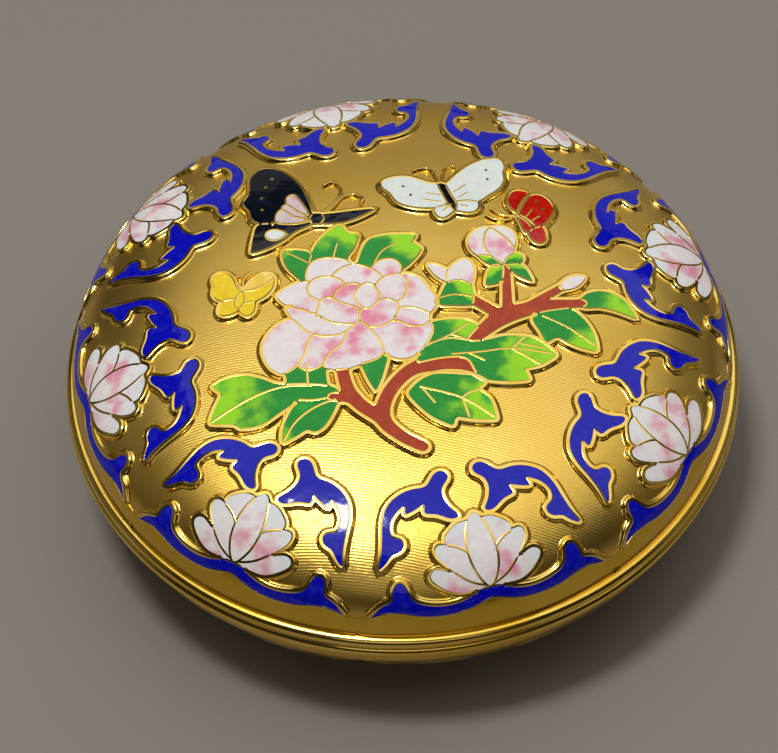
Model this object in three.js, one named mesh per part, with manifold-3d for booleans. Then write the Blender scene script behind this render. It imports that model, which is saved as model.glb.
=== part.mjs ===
// Round cloisonne enamel box: a domed lid and a bowl of the same form, both of gilt metal with raised
// enamelled figures. The lid seats on a collar inside the bowl, and the bowl stands on a foot ring.
// Millimetres, +Z up, the origin in the middle of the foot ring's underside.
import * as THREE from "three";
import { mergeVertices } from "three/addons/utils/BufferGeometryUtils.js";
import Module from "manifold-3d";

// Driving dimensions
const DOME_RADIUS = 55.9; // radius of the lid and of the bowl where they meet their rims
const DOME_RISE = 17.5; // height of either curve over that edge
const DOME_FULLNESS = 2.5; // how square the shoulder is, along the radius
const DOME_ROUNDNESS = 2.6; // and along the height
const WALL = 1.5; // from the raised figures to the inside
const RELIEF = 0.6; // height of the figures over the ground
const SEAM_Z = 20.6; // where the lid's rim rests on the bowl's
const BEAD_RADIUS = 1.05; // the half-round moulding on either rim
const LID_BEAD_CENTRE = 56.1; // radius of that moulding's centre line on the lid
const BASE_BEAD_CENTRE = 56.3; // and on the bowl, which stands out a little further
const LID_EDGE_Z = SEAM_Z + 1.2; // underside of the lid's wall, on its rim
const BASE_EDGE_Z = SEAM_Z - 1.2; // top of the bowl's wall, under its rim
const LID_STRAIGHT = 1.1; // upright stretch of the lid's wall over its rim
const BASE_STRAIGHT = 0.9; // and of the bowl's wall under its own
const COLLAR_RADIUS = 54.1; // outside of the collar that centres the lid
const COLLAR_WALL = 1;
const COLLAR_ABOVE_SEAM = 2.2;
const COLLAR_BELOW_SEAM = 2.1;
const FOOT_INNER = 26.5;
const FOOT_OUTER = 29.5;
const FOOT_TAPER = 0.4;
const UNITS = 8; // lotus and scroll figures around the border
const UNIT_START = 13.2; // direction of the first one from the front, degrees to the right
const GOLD_EDGE = 0.5; // gold border around each enamelled figure
const SEGMENTS = 32; // sides of every turned piece
const FIGURE_HEIGHT = 45; // of the upright prisms that mark the figures out, taller than the box

const LID_RINGS = [23, 38, 47.2, 52.6, 55.2, DOME_RADIUS];
const BASE_RINGS = [FOOT_INNER, FOOT_OUTER, 43.5, 51.3, 54.9, DOME_RADIUS];
const INSIDE_RINGS = [26, 44, 52.6, DOME_RADIUS];

// Every figure is drawn as ribbons: points of x, y and half-width on a spline with round ends. Its plane is
// the curved surface laid flat from the middle outwards, so a figure keeps its shape on the steep shoulder.
// A border unit has x along the rim and y outwards. Its scrolls are drawn once, for the right-hand side.
const OUTER_SCROLL = [[0, 56.3, 1.0], [7.6, 57.3, 0.9], [14.7, 55.6, 1.5], [21.6, 55.7, 0.05]];
const OUTER_KNOB = [[14.6, 55.4, 0.9], [14.5, 53.0, 0.9]];
const INNER_SCROLL = [[2, 43.8, 0.5], [6.4, 38.9, 1.7], [13.2, 40.9, 1.4], [18.2, 49.2, 0.05]];
const INNER_KNOB = [[5.4, 39.4, 1.0], [3.4, 36.4, 1.1]];
const LOTUS = { foot: 55.6, petals: 5, spread: 34, middle: 12, step: 0.8, notch: 0.18 };

// The spray of peony and the butterflies in the middle of the lid, x to the right and y to the back.
const PEONY = { centre: [-8.4, -3.4], reach: [14.8, 11.6], lobes: 8, notch: 0.14 };
const BUDS = [
  [[17.4, 5.4, 1.6], [15.6, 10.6, 3.6]],
  [[5.0, 5.4, 0.6], [8.6, 3.0, 1.4], [10.6, 5.6, 0.8]],
  [[26.6, 0.6, 0.3], [30.8, 3.0, 0.4]],
];
const LEAVES = [
  [[-13.0, 2.0, 1.6], [-17.4, 7.0, 2.0], [-19.2, 10.8, 0.1]],
  [[-11.0, 5.0, 2.4], [-9.8, 11.4, 3.2], [-9.4, 15.6, 0.1]],
  [[-6.6, 5.6, 1.4], [-1.6, 9.9, 2.7], [3.6, 12.6, 0.1]],
  [[-8.0, -20.2, 1.2], [-20.6, -19.2, 3.6], [-31.0, -22.6, 0.1]],
  [[-10.0, -21.4, 1.0], [-15.4, -24.0, 2.2], [-20.2, -27.8, 0.1]],
  [[-16.5, -12.0, 2.4], [-14.5, -19.0, 2.8]],
  [[0.4, -19.6, 0.4], [7.4, -21.6, 4.3], [14.8, -25.6, 0.1]],
  [[2.2, -11.0, 1.6], [15.4, -13.4, 3.9], [25.2, -13.0, 0.1]],
  [[2.6, -9.4, 1.4], [12.2, -7.0, 0.8]],
  [[20.6, -5.0, 0.8], [26.6, -7.4, 2.5], [32.2, -12.0, 0.1]],
  [[28.8, -2.4, 0.6], [34.0, -2.2, 1.6], [39.4, -5.0, 0.1]],
  [[12.8, 7.4, 0.4], [17.0, 4.4, 1.0], [21.4, 7.6, 0.5]],
  [[9.6, 3.0, 1.8], [9.4, -0.6, 2.2], [15.0, -4.0, 0.6]],
];
const BRANCHES = [
  [[2.9, -30.8, 0.9], [-3.8, -25.0, 1.1], [0.4, -16.4, 1.1], [8.6, -14.0, 0.9]],
  [[-10.6, -15.0, 0.9], [-3.4, -25.4, 1.1]],
  [[12.6, -11.0, 1.0], [18.0, -5.0, 1.2], [30.2, -2.4, 0.5]],
  [[18.0, -4.6, 0.8], [18.0, 5.8, 0.6]],
  [[20.0, -4.0, 0.8], [27.4, 0.8, 0.5]],
];
const BUTTERFLIES = [
  // black, at the back left
  [[-13.6, 18.0, 0.8], [-20.4, 22.8, 4.2], [-23.6, 28.6, 2.4]],
  [[-14.2, 17.4, 0.8], [-19.0, 15.6, 2.1], [-24.6, 11.6, 0.4]],
  [[-14.6, 16.9, 0.7], [-9.0, 18.1, 1.0], [-3.8, 18.8, 0.1]],
  // white, at the back
  [[8.8, 21.0, 0.8], [4.0, 22.4, 2.4], [-1.6, 24.6, 0.5]],
  [[9.2, 21.0, 0.8], [13.6, 24.6, 2.6], [17.6, 30.0, 1.2]],
  [[7.8, 17.6, 1.0], [9.4, 21.6, 0.9], [8.0, 24.8, 0.3]],
  [[9.6, 21.0, 0.6], [13.4, 19.6, 1.1]],
  // red, at the back right
  [[20.4, 16.6, 0.8], [23.4, 19.2, 3.0]],
  [[21.6, 16.6, 0.8], [24.0, 12.2, 1.2]],
  // yellow, on the left
  [[-26.6, 1.0, 0.6], [-29.6, 4.8, 1.8]],
  [[-26.6, 1.2, 0.6], [-23.4, 2.0, 1.2], [-20.8, 4.2, 0.2]],
  [[-29.4, -0.8, 1.0], [-26.6, 0.8, 0.7], [-24.8, -1.4, 0.9]],
];

const wasm = await Module();
wasm.setup();

function asManifold(geometry) {
  const bare = geometry.clone();
  bare.deleteAttribute("normal");
  bare.deleteAttribute("uv");
  const merged = mergeVertices(bare, 1e-4);
  const corners = merged.index.array;
  const triangles = [];
  for (let i = 0; i < corners.length; i += 3) {
    const [a, b, c] = [corners[i], corners[i + 1], corners[i + 2]];
    if (a !== b && b !== c && c !== a) triangles.push(a, b, c);
  }
  const vertProperties = Float32Array.from(merged.attributes.position.array);
  const triVerts = Uint32Array.from(triangles);
  return new wasm.Manifold(new wasm.Mesh({ numProp: 3, vertProperties, triVerts }));
}

function asGeometry(solid) {
  const mesh = solid.getMesh();
  const geometry = new THREE.BufferGeometry();
  geometry.setAttribute("position", new THREE.BufferAttribute(mesh.vertProperties, 3));
  geometry.setIndex(new THREE.BufferAttribute(mesh.triVerts, 1));
  geometry.computeVertexNormals();
  return geometry;
}

const joined = (solids) => solids.reduce((whole, solid) => whole.add(solid));

// The curve shared by the lid and the bowl: height over the edge at a radius.
const riseAt = (radius) =>
  DOME_RISE * Math.max(0, 1 - (Math.abs(radius) / DOME_RADIUS) ** DOME_FULLNESS) ** (1 / DOME_ROUNDNESS);

// A point of that curve, moved in by some depth along the curve's normal.
function curvePoint(radius, depth) {
  const step = 0.01;
  const nearer = Math.min(radius, DOME_RADIUS - step);
  const slope = (riseAt(nearer + step / 2) - riseAt(nearer - step / 2)) / step;
  const atEdge = radius >= DOME_RADIUS;
  const length = Math.hypot(slope, 1);
  const inward = atEdge ? 1 : -slope / length;
  const down = atEdge ? 0 : 1 / length;
  return new THREE.Vector2(radius - depth * inward, riseAt(radius) - depth * down);
}

// Length along the curve from the middle, in small steps, to lay the surface flat.
const ARC_STEPS = 400;
const arcTable = [{ radius: 0, arc: 0 }];
for (let i = 1; i <= ARC_STEPS; i += 1) {
  const radius = DOME_RADIUS * Math.sin((i / ARC_STEPS) * (Math.PI / 2));
  const last = arcTable[i - 1];
  const length = Math.hypot(radius - last.radius, riseAt(radius) - riseAt(last.radius));
  arcTable.push({ radius, arc: last.arc + length });
}

function radiusAtArc(arc) {
  const next = Math.max(1, arcTable.findIndex((entry) => entry.arc >= arc));
  const [a, b] = [arcTable[next - 1], arcTable[next]];
  return a.radius + ((arc - a.arc) / (b.arc - a.arc)) * (b.radius - a.radius);
}

function toPlan({ x, y }) {
  const arc = Math.hypot(x, y);
  const scale = arc > 0 ? radiusAtArc(arc) / arc : 1;
  return new THREE.Vector2(x * scale, y * scale);
}

// Outline of a ribbon, widened by the gold edge, with round ends, or pointed ones where it is narrow.
function ribbon(points) {
  const spline = new THREE.CatmullRomCurve3(points.map((p) => new THREE.Vector3(...p)), false, "catmullrom");
  const count = points.length - 1;
  const sides = { left: [], right: [] };
  const ends = [];
  for (let i = 0; i <= count; i += 1) {
    const at = spline.getPoint(i / count);
    const along = spline.getTangent(i / count);
    const direction = new THREE.Vector2(along.x, along.y).normalize();
    const across = new THREE.Vector2(-direction.y, direction.x);
    const reach = at.z + GOLD_EDGE;
    const centre = new THREE.Vector2(at.x, at.y);
    sides.left.push(centre.clone().addScaledVector(across, reach));
    sides.right.unshift(centre.clone().addScaledVector(across, -reach));
    if (i === 0 || i === count) ends.push({ centre, direction, across, reach });
  }
  const cap = ({ centre, direction, across, reach }, sign) => {
    const turns = reach > 2.4 ? [-0.25, 0, 0.25] : [0];
    return turns.map((turn) => {
      const angle = turn * Math.PI;
      return centre
        .clone()
        .addScaledVector(direction, sign * reach * Math.cos(angle))
        .addScaledVector(across, -sign * reach * Math.sin(angle));
    });
  };
  return [...sides.left, ...cap(ends[1], 1), ...sides.right, ...cap(ends[0], -1)];
}

// Outline of a many-petalled flower: an ellipse drawn in between its lobes.
function rosette({ centre, reach, lobes, notch }) {
  const outline = [];
  for (let i = 0; i < 2 * lobes; i += 1) {
    const angle = (i / lobes) * Math.PI;
    const size = i % 2 === 0 ? 1 : 1 - notch;
    const x = centre[0] + (reach[0] + GOLD_EDGE) * size * Math.cos(angle);
    const y = centre[1] + (reach[1] + GOLD_EDGE) * size * Math.sin(angle);
    outline.push(new THREE.Vector2(x, y));
  }
  return outline;
}

// Outline of a lotus seen from the side: pointed petals spread in a fan from its foot towards the middle.
function fan({ foot, petals, spread, middle, step, notch }) {
  const last = (petals - 1) / 2;
  const outline = [new THREE.Vector2(0, foot)];
  for (let i = -last; i <= last; i += 0.5) {
    const angle = THREE.MathUtils.degToRad(spread * i);
    const onTip = Number.isInteger(i);
    const length = (middle - step * Math.abs(i) + GOLD_EDGE) * (onTip ? 1 : 1 - notch);
    outline.push(new THREE.Vector2(length * Math.sin(angle), foot - length * Math.cos(angle)));
  }
  return outline;
}

const mirrored = (points) => points.map(([x, ...rest]) => [-x, ...rest]);

// An upright prism over an outline given on the flattened surface.
function prism(outline, hole) {
  const shape = new THREE.Shape(outline);
  if (hole) shape.holes.push(new THREE.Path(hole));
  const geometry = new THREE.ExtrudeGeometry(shape, { depth: FIGURE_HEIGHT, bevelEnabled: false });
  return asManifold(geometry);
}

const figurePrism = (outline) => prism(outline.map(toPlan));

function turnedPoint(point, unit) {
  const angle = THREE.MathUtils.degToRad(UNIT_START - (360 / UNITS) * unit);
  const x = point.x * Math.cos(angle) + point.y * Math.sin(angle);
  const y = point.x * Math.sin(angle) - point.y * Math.cos(angle);
  return new THREE.Vector2(x, y);
}

// The border: lotus flowers between scrolls, and the plain band that runs outside them to the rim.
function borderSolid(halves) {
  const outlines = [fan(LOTUS), ...[...halves, ...halves.map(mirrored)].map(ribbon)];
  const field = [];
  const solids = [];
  const half = OUTER_SCROLL.map(([x, y]) => [x, y]);
  const fieldEdge = [...mirrored(half).slice(1).reverse(), ...half];
  for (let unit = 0; unit < UNITS; unit += 1) {
    const placed = (outline) => outline.map((point) => turnedPoint(point, unit)).map(toPlan);
    solids.push(...outlines.map((outline) => prism(placed(outline))));
    field.unshift(...placed(fieldEdge.map(([x, y]) => new THREE.Vector2(x, y))));
  }
  const outside = new THREE.EllipseCurve(0, 0, DOME_RADIUS + 3, DOME_RADIUS + 3).getPoints(SEGMENTS);
  solids.push(prism(outside.slice(0, -1), field));
  return joined(solids);
}

function turned(profile) {
  const closed = [...profile, profile[0]];
  if (THREE.ShapeUtils.area(profile) < 0) closed.reverse();
  return new THREE.LatheGeometry(closed, SEGMENTS).rotateX(Math.PI / 2);
}

// A full dome of the shared curve at some depth below its figures, closed flat along its edge.
function domeSolid(rings, depth, edgeZ, upward, skirt) {
  const sign = upward ? 1 : -1;
  const points = [0, ...rings].map((radius) => {
    const point = curvePoint(radius, depth);
    return new THREE.Vector2(Math.max(0, point.x), edgeZ + sign * point.y);
  });
  const edgeRadius = DOME_RADIUS - depth;
  points.push(new THREE.Vector2(edgeRadius, edgeZ - sign * skirt));
  points.push(new THREE.Vector2(0, edgeZ - sign * skirt));
  return asManifold(turned(points));
}

// A wall of the box: ground and raised figures outside, plain and hollow inside.
function shell(figures, rings, edgeZ, upward, skirt) {
  const ground = domeSolid(rings, RELIEF, edgeZ, upward, skirt);
  const raised = domeSolid(rings, 0, edgeZ, upward, skirt).intersect(figures);
  const hollow = domeSolid(INSIDE_RINGS, WALL, edgeZ, upward, skirt + WALL);
  return asGeometry(ground.add(raised).subtract(hollow));
}

function beadArc(centreRadius, centreZ) {
  const sides = 4;
  const arc = [];
  for (let i = 0; i <= sides; i += 1) {
    const angle = (i / sides - 0.5) * Math.PI;
    arc.push([centreRadius + BEAD_RADIUS * Math.cos(angle), centreZ + BEAD_RADIUS * Math.sin(angle)]);
  }
  return arc;
}

const toVectors = (pairs) => pairs.map(([radius, z]) => new THREE.Vector2(radius, z));

function lidRim() {
  const inner = DOME_RADIUS - WALL;
  return turned(toVectors([
    [inner, SEAM_Z],
    ...beadArc(LID_BEAD_CENTRE, SEAM_Z + BEAD_RADIUS),
    [DOME_RADIUS, SEAM_Z + 2 * BEAD_RADIUS],
    [DOME_RADIUS, LID_EDGE_Z],
    [inner, LID_EDGE_Z],
  ]));
}

function baseRim() {
  return turned(toVectors([
    [COLLAR_RADIUS, SEAM_Z],
    [COLLAR_RADIUS, BASE_EDGE_Z],
    [DOME_RADIUS, BASE_EDGE_Z],
    [DOME_RADIUS, SEAM_Z - 2 * BEAD_RADIUS],
    ...beadArc(BASE_BEAD_CENTRE, SEAM_Z - BEAD_RADIUS),
  ]));
}

function innerCollar() {
  const inner = COLLAR_RADIUS - COLLAR_WALL;
  return turned(toVectors([
    [inner, SEAM_Z - COLLAR_BELOW_SEAM],
    [COLLAR_RADIUS, SEAM_Z - COLLAR_BELOW_SEAM],
    [COLLAR_RADIUS, SEAM_Z + COLLAR_ABOVE_SEAM],
    [inner, SEAM_Z + COLLAR_ABOVE_SEAM],
  ]));
}

function footRing(bowlCurveZ) {
  const top = [FOOT_INNER, FOOT_OUTER].map((radius) => {
    const point = curvePoint(radius, RELIEF);
    return [point.x, bowlCurveZ - point.y];
  });
  return turned(toVectors([
    [FOOT_INNER + FOOT_TAPER, 0],
    [FOOT_OUTER - FOOT_TAPER, 0],
    top[1],
    top[0],
  ]));
}

const GOLD = { color: 0xc9992e, roughness: 0.28, metalness: 1 };

function piece(name, geometry, look) {
  const mesh = new THREE.Mesh(geometry, new THREE.MeshStandardMaterial(look));
  mesh.name = name;
  return mesh;
}

const plainBorder = borderSolid([OUTER_SCROLL, OUTER_KNOB]);
const border = borderSolid([OUTER_SCROLL, OUTER_KNOB, INNER_SCROLL, INNER_KNOB]);
const figures = [rosette(PEONY), ...[...BUDS, ...LEAVES, ...BRANCHES, ...BUTTERFLIES].map(ribbon)];
const spray = joined(figures.map(figurePrism));
const lidCurveZ = LID_EDGE_Z + LID_STRAIGHT;
const bowlCurveZ = BASE_EDGE_Z - BASE_STRAIGHT;

const group = new THREE.Group();
group.add(piece("lid", shell(border.add(spray), LID_RINGS, lidCurveZ, true, LID_STRAIGHT), GOLD));
group.add(piece("lid_rim", lidRim(), GOLD));
group.add(piece("base", shell(plainBorder, BASE_RINGS, bowlCurveZ, false, BASE_STRAIGHT), GOLD));
group.add(piece("base_rim", baseRim(), GOLD));
group.add(piece("inner_collar", innerCollar(), GOLD));
group.add(piece("foot_ring", footRing(bowlCurveZ), GOLD));

export default group;
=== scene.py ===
"""Looks of the round cloisonne enamel box: gilt walls, bent wires, fired enamel and turned rims.

The lid and the bowl share one curved wall. Their figures are drawn in millimetres on that wall laid flat
from its middle, then cut into cells, filled with enamel and edged with wire, and put back on the curve.
"""

import math
from collections import defaultdict

import bpy
import numpy as np
from mathutils import Matrix, Vector
from mathutils.geometry import delaunay_2d_cdt
from mathutils.kdtree import KDTree


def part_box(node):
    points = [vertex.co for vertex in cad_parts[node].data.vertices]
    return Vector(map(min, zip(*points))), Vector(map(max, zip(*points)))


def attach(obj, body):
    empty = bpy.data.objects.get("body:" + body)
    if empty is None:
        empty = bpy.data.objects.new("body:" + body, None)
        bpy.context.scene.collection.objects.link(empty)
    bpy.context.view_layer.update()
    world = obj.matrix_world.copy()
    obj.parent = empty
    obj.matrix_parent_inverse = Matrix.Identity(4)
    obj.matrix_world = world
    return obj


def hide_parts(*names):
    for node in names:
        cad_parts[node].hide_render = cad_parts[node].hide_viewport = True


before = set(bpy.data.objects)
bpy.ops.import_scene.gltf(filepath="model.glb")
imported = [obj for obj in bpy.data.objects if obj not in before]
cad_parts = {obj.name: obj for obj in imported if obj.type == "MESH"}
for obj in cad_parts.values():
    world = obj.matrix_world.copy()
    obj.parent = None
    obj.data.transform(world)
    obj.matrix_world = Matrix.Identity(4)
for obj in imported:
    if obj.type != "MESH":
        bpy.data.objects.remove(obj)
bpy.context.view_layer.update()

# ------------------------------------------------------------------ sizes, in millimetres
MM = 0.001


def node_box(name):
    """Lowest and highest corner of a CAD node, in millimetres."""
    low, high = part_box(name)
    return np.array(low) / MM, np.array(high) / MM


LID_LOW, LID_HIGH = node_box("lid")
_, BASE_HIGH = node_box("base")
LID_RIM_LOW, LID_RIM_HIGH = node_box("lid_rim")
_, BASE_RIM_HIGH = node_box("base_rim")
COLLAR_LOW, COLLAR_HIGH = node_box("inner_collar")
_, FOOT_HIGH = node_box("foot_ring")

LID_STRAIGHT = 1.1  # upright stretch of the lid's wall over its rim
BASE_STRAIGHT = 0.9  # and of the bowl's under its own
DOME_RADIUS = LID_HIGH[0]  # edge of the curved wall
DOME_RISE = LID_HIGH[2] - LID_LOW[2] - LID_STRAIGHT
FULLNESS = 2.5  # how square the shoulder is, along the radius
ROUNDNESS = 2.6  # and along the height
WALL = 1.5  # from the figures to the inside
RELIEF = 0.6  # height of the figures over the ground
BEAD_RADIUS = 1.05  # half-round moulding on either rim
FOOT_TAPER = 0.4
COLLAR_WALL = 1.0
COLLAR_EASE = 0.25  # how far sharp corners are taken off
FOOT_WIDTH = 3.0
FOOT_EASE = 0.2
UNITS = 8  # lotus and scroll figures around the border
UNIT_START = 13.2  # direction of the first one from the front, degrees to the right
UNIT_HALF = 180 / UNITS

WIRE_HALF = 0.21  # half the thickness of a bent wire
EDGE_WIDTH = 0.56  # gold left around the raised figures
EDGE_OVERLAP = 0.05  # how much of that lies over the enamel
WIRE_DEEP = 0.3  # how deep a wire stands in the enamel
ENAMEL_SINK = 0.03  # how far the polished enamel lies under its wires
ENAMEL_WAVE = 0.06  # depth of the faint waves in its surface
EDGE_SLOPE = 0.6  # how far the side of a raised figure leans out at its foot
ROOTED = 0.1  # how far raised figures reach into the ground
DOT_STAND = 0.02  # how far the butterflies' dots stand over the wires
GOLD_DOT, GREY_DOT = 0.3, 0.26  # radius of the dots
FEELER_HALF = 0.22
FEELER_SLOPE = 0.4 * EDGE_SLOPE
FEELER_SHARE, VEIN_SHARE = 0.9, 0.7  # share of a strip's full width in feelers and in the wings' veins
LINE_STEP = 0.45  # length of a wire's pieces
BENDS = 2  # how many times a wire's kinks are eased
GRID_STEP = 1.3  # size of the faces within a cell
ROW_PITCH = 0.5  # from one engraved line of the ground to the next
ROW_DEPTH = 0.018
ROW_SLANT = 0.33  # how steeply the lines run away from their bend
ROW_BEND = 22.0  # how far to the left of the middle they bend
ROW_SOFTNESS = 20.0  # how gently they bend
ROWS_DEEPEN = (10.0, -10.0)  # from back to front, where they grow to their full depth
ROWS_FADE = (53.0, 56.0)  # distance from the middle, where they end
SIDE_STEPS = 5  # points down a raised side, which rounds over at the top and runs out at the foot
LATHE_SIDES = 256
WALL_ROWS = 72
BEAD_STEPS = 14
SHARP = math.radians(38)  # edges that bend more than this stay sharp


# ------------------------------------------------------------------ the curved wall
def rise(radius):
    """Height of the curved wall over its edge, at a radius."""
    inside = np.clip(1 - (np.abs(radius) / DOME_RADIUS) ** FULLNESS, 0, 1)
    return DOME_RISE * inside ** (1 / ROUNDNESS)


def lean(radius):
    """Angle of the wall's outward direction from upright, at a radius."""
    step = 0.004
    middle = np.clip(radius, step, DOME_RADIUS - step)
    slope = (rise(middle + step) - rise(middle - step)) / (2 * step)
    steep = np.where(radius > DOME_RADIUS - step, math.pi / 2, np.arctan(-slope))
    return np.where(radius < step, 0.0, steep)


ARC_RADII = DOME_RADIUS * np.sin(np.linspace(0, math.pi / 2, 3001))
ARC_LENGTHS = np.append(0, np.cumsum(np.hypot(np.diff(ARC_RADII), np.diff(rise(ARC_RADII)))))
EDGE_ARC = ARC_LENGTHS[-1]


class Wall:
    """The lid's wall, which bulges up, or the bowl's, which bulges down."""

    def __init__(self, edge, way, straight):
        self.edge = edge
        self.way = way
        self.straight = straight

    def place(self, flat, height=0.0):
        """Points drawn flat, put on the wall at a height over its figures, in metres."""
        flat = np.asarray(flat, float).reshape(-1, 2)
        arc = np.hypot(flat[:, 0], flat[:, 1])
        radius = np.interp(arc, ARC_LENGTHS, ARC_RADII)
        tilt = lean(radius)
        around = flat / np.maximum(arc, 1e-9)[:, None]
        out = radius + height * np.sin(tilt)
        up = rise(radius) + height * np.cos(tilt) - np.maximum(arc - EDGE_ARC, 0)
        return np.column_stack([around * out[:, None], self.edge + self.way * up]) * MM

    def outward(self, flat):
        """Directions that stand out of the wall at points drawn flat."""
        flat = np.asarray(flat, float).reshape(-1, 2)
        arc = np.hypot(flat[:, 0], flat[:, 1])
        tilt = lean(np.interp(arc, ARC_LENGTHS, ARC_RADII))
        around = flat / np.maximum(arc, 1e-9)[:, None]
        return np.column_stack([around * np.sin(tilt)[:, None], self.way * np.cos(tilt)])

    def outward_at(self, points):
        """The same directions at points that already lie on the wall, in metres."""
        distance = np.hypot(points[:, 0], points[:, 1])
        tilt = lean(np.minimum(distance / MM, DOME_RADIUS))
        around = points[:, :2] / np.maximum(distance, 1e-9)[:, None]
        return np.column_stack([around * np.sin(tilt)[:, None], self.way * np.cos(tilt)])


LID = Wall(LID_LOW[2] + LID_STRAIGHT, 1, LID_STRAIGHT)
BOWL = Wall(BASE_HIGH[2] - BASE_STRAIGHT, -1, BASE_STRAIGHT)


# ------------------------------------------------------------------ drawing
def spline_span(before, start, end, after, steps):
    """Points of a spline from start up to end, with its neighbours on either side."""
    knots = [0.0]
    for a, b in ((before, start), (start, end), (end, after)):
        knots.append(knots[-1] + max(math.sqrt(np.linalg.norm(b - a)), 1e-3))
    t0, t1, t2, t3 = knots
    t = np.linspace(t1, t2, steps, endpoint=False)[:, None]

    def mix(a, b, ta, tb):
        return a * (tb - t) / (tb - ta) + b * (t - ta) / (tb - ta)

    first = mix(before, start, t0, t1)
    second = mix(start, end, t1, t2)
    third = mix(end, after, t2, t3)
    return mix(mix(first, second, t0, t2), mix(second, third, t1, t3), t1, t2)


def open_line(points, step=0.5):
    """A smooth line through all its points, with its ends."""
    points = [np.asarray(p, float) for p in points]
    padded = [2 * points[0] - points[1], *points, 2 * points[-1] - points[-2]]
    spans = []
    for i in range(len(points) - 1):
        length = np.linalg.norm(points[i + 1][:2] - points[i][:2])
        steps = max(2, round(length / step))
        spans.append(spline_span(*padded[i : i + 4], steps))
    return np.vstack([*spans, points[-1][None]])


def closed_line(points, step=0.5):
    """A smooth closed outline. A point with a third number is a corner."""
    corners = [i for i, p in enumerate(points) if len(p) > 2]
    points = [np.asarray(p[:2], float) for p in points]
    count = len(points)
    if not corners:
        spans = []
        for i in range(count):
            near = [points[(i + k) % count] for k in (-1, 0, 1, 2)]
            steps = max(2, round(np.linalg.norm(near[2] - near[1]) / step))
            spans.append(spline_span(*near, steps))
        return np.vstack(spans)
    spans = []
    for a, b in zip(corners, corners[1:] + [corners[0] + count]):
        stretch = [points[i % count] for i in range(a, b + 1)]
        spans.append(open_line(stretch, step)[:-1])
    return np.vstack(spans)


def ribbon(points):
    """Outline of a band along a line of x, y and half-width, with round ends."""
    line = open_line(points, 0.7)
    centre, half = line[:, :2], np.maximum(line[:, 2], 0.02)
    along = np.gradient(centre, axis=0)
    along /= np.linalg.norm(along, axis=1)[:, None]
    across = np.column_stack([-along[:, 1], along[:, 0]])
    turns = np.linspace(0, math.pi, 7)[1:-1]

    def round_end(i, sign):
        steps = sign * np.cos(turns)[:, None] * across[i] + sign * np.sin(turns)[:, None] * along[i]
        return centre[i] + half[i] * steps

    left = centre + across * half[:, None]
    right = centre - across * half[:, None]
    return np.vstack([left, round_end(-1, 1), right[::-1], round_end(0, -1)])


def mirrored(points):
    """The same points on the left-hand side."""
    return [[-p[0], *p[1:]] for p in points]


def disc(centre, radius):
    """A small round outline."""
    turns = np.linspace(0, 2 * math.pi, 14, endpoint=False)
    return np.column_stack([centre[0] + radius * np.cos(turns), centre[1] + radius * np.sin(turns)])


class Cell:
    """One enamel cell: its outline, what fills it, and its root and tip for shading along it."""

    def __init__(self, fill, outline, root=None, tip=None, joined=None):
        self.fill = fill
        self.outline = outline
        self.root = np.array(outline[0] if root is None else root, float)
        self.tip = np.array(outline[len(outline) // 2] if tip is None else tip, float)
        self.joined = joined  # cells with the same word here have no wire between them


# The outlines below, from OUTER_SCROLL to GREY_DOTS, were traced. Their points were read by eye on enlarged
# parts of the photograph, turned into millimetres by other scripts, and then partly changed by hand.

# ------------------------------------------------------------------ the border's figures
# x runs along the rim and y outwards. Scrolls and petals are drawn for the right-hand side.
OUTER_SCROLL = [
    [0, 55.2], [4.5, 56.6], [7.4, 56.8], [10.4, 56.1], [12.6, 54.8], [13.4, 53.2], [13.4, 51.9],
    [14.5, 51.1], [15.6, 52.2], [16.1, 53.7], [18.2, 54.1], [20.8, 55.6, 1], [17.6, 55.6], [15.2, 56.3],
    [12.0, 57.8], [8.0, 58.6], [4.5, 58.5], [0, 57.2, 1],
]
INNER_SCROLL = [
    [2.0, 43.4], [3.2, 41.5], [3.8, 39.3], [3.3, 37.8], [2.3, 37.1], [1.9, 36.1], [2.5, 35.3], [3.7, 35.2],
    [4.8, 36.1], [6.0, 37.3], [8.2, 37.1], [10.5, 37.5], [12.7, 38.8], [14.1, 41.0], [15.0, 43.9],
    [15.9, 46.5], [17.0, 48.6, 1], [15.3, 47.7], [14.1, 46.7], [12.8, 46.7], [11.8, 45.8], [11.9, 44.8],
    [13.4, 44.0, 1], [13.3, 42.3], [12.1, 40.6], [9.8, 39.3, 1], [10.5, 41.1, 1], [8.4, 40.6],
    [6.8, 39.9, 1], [7.5, 41.7, 1], [5.6, 42.2], [3.4, 43.6],
]
LOTUS_FOOT = (0, 55.3)
LOTUS_HEART = [
    [0, 55.4], [1.9, 52.8], [2.4, 49.2], [1.6, 45.4], [0.2, 43.2], [-1.5, 45.2], [-2.3, 49.0], [-1.8, 52.8],
]
LOTUS_BACK = [[0, 52], [2.6, 50.6], [4.2, 48.6], [5.6, 46.7], [4.3, 45.3], [2.2, 44.3], [0, 45.5]]
LOTUS_LOW = [[0, 55.2], [2.8, 55.4], [5.6, 55.2], [8.2, 53.3], [9.3, 51.6], [8.2, 50.7], [5.8, 51.7], [1, 53]]
LOTUS_SIDE = [[0, 55], [2.9, 54.0], [5.7, 51.3], [7.4, 48.6], [7.0, 47.1], [5.2, 47.5], [2.7, 49.0], [1, 52]]
BAND_INNER = [[0, 56.6], [8.4, 57.4], [14.5, 55.6], [20.7, 55.4]]
BAND_TIP = 59.7  # where the plain band reaches inwards between two scrolls
BAND_GAP = 2.3  # half the opening there, where the lid's band runs down into the ground
BAND_STAND = 0.02  # how far over the ground the band ends there


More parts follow.
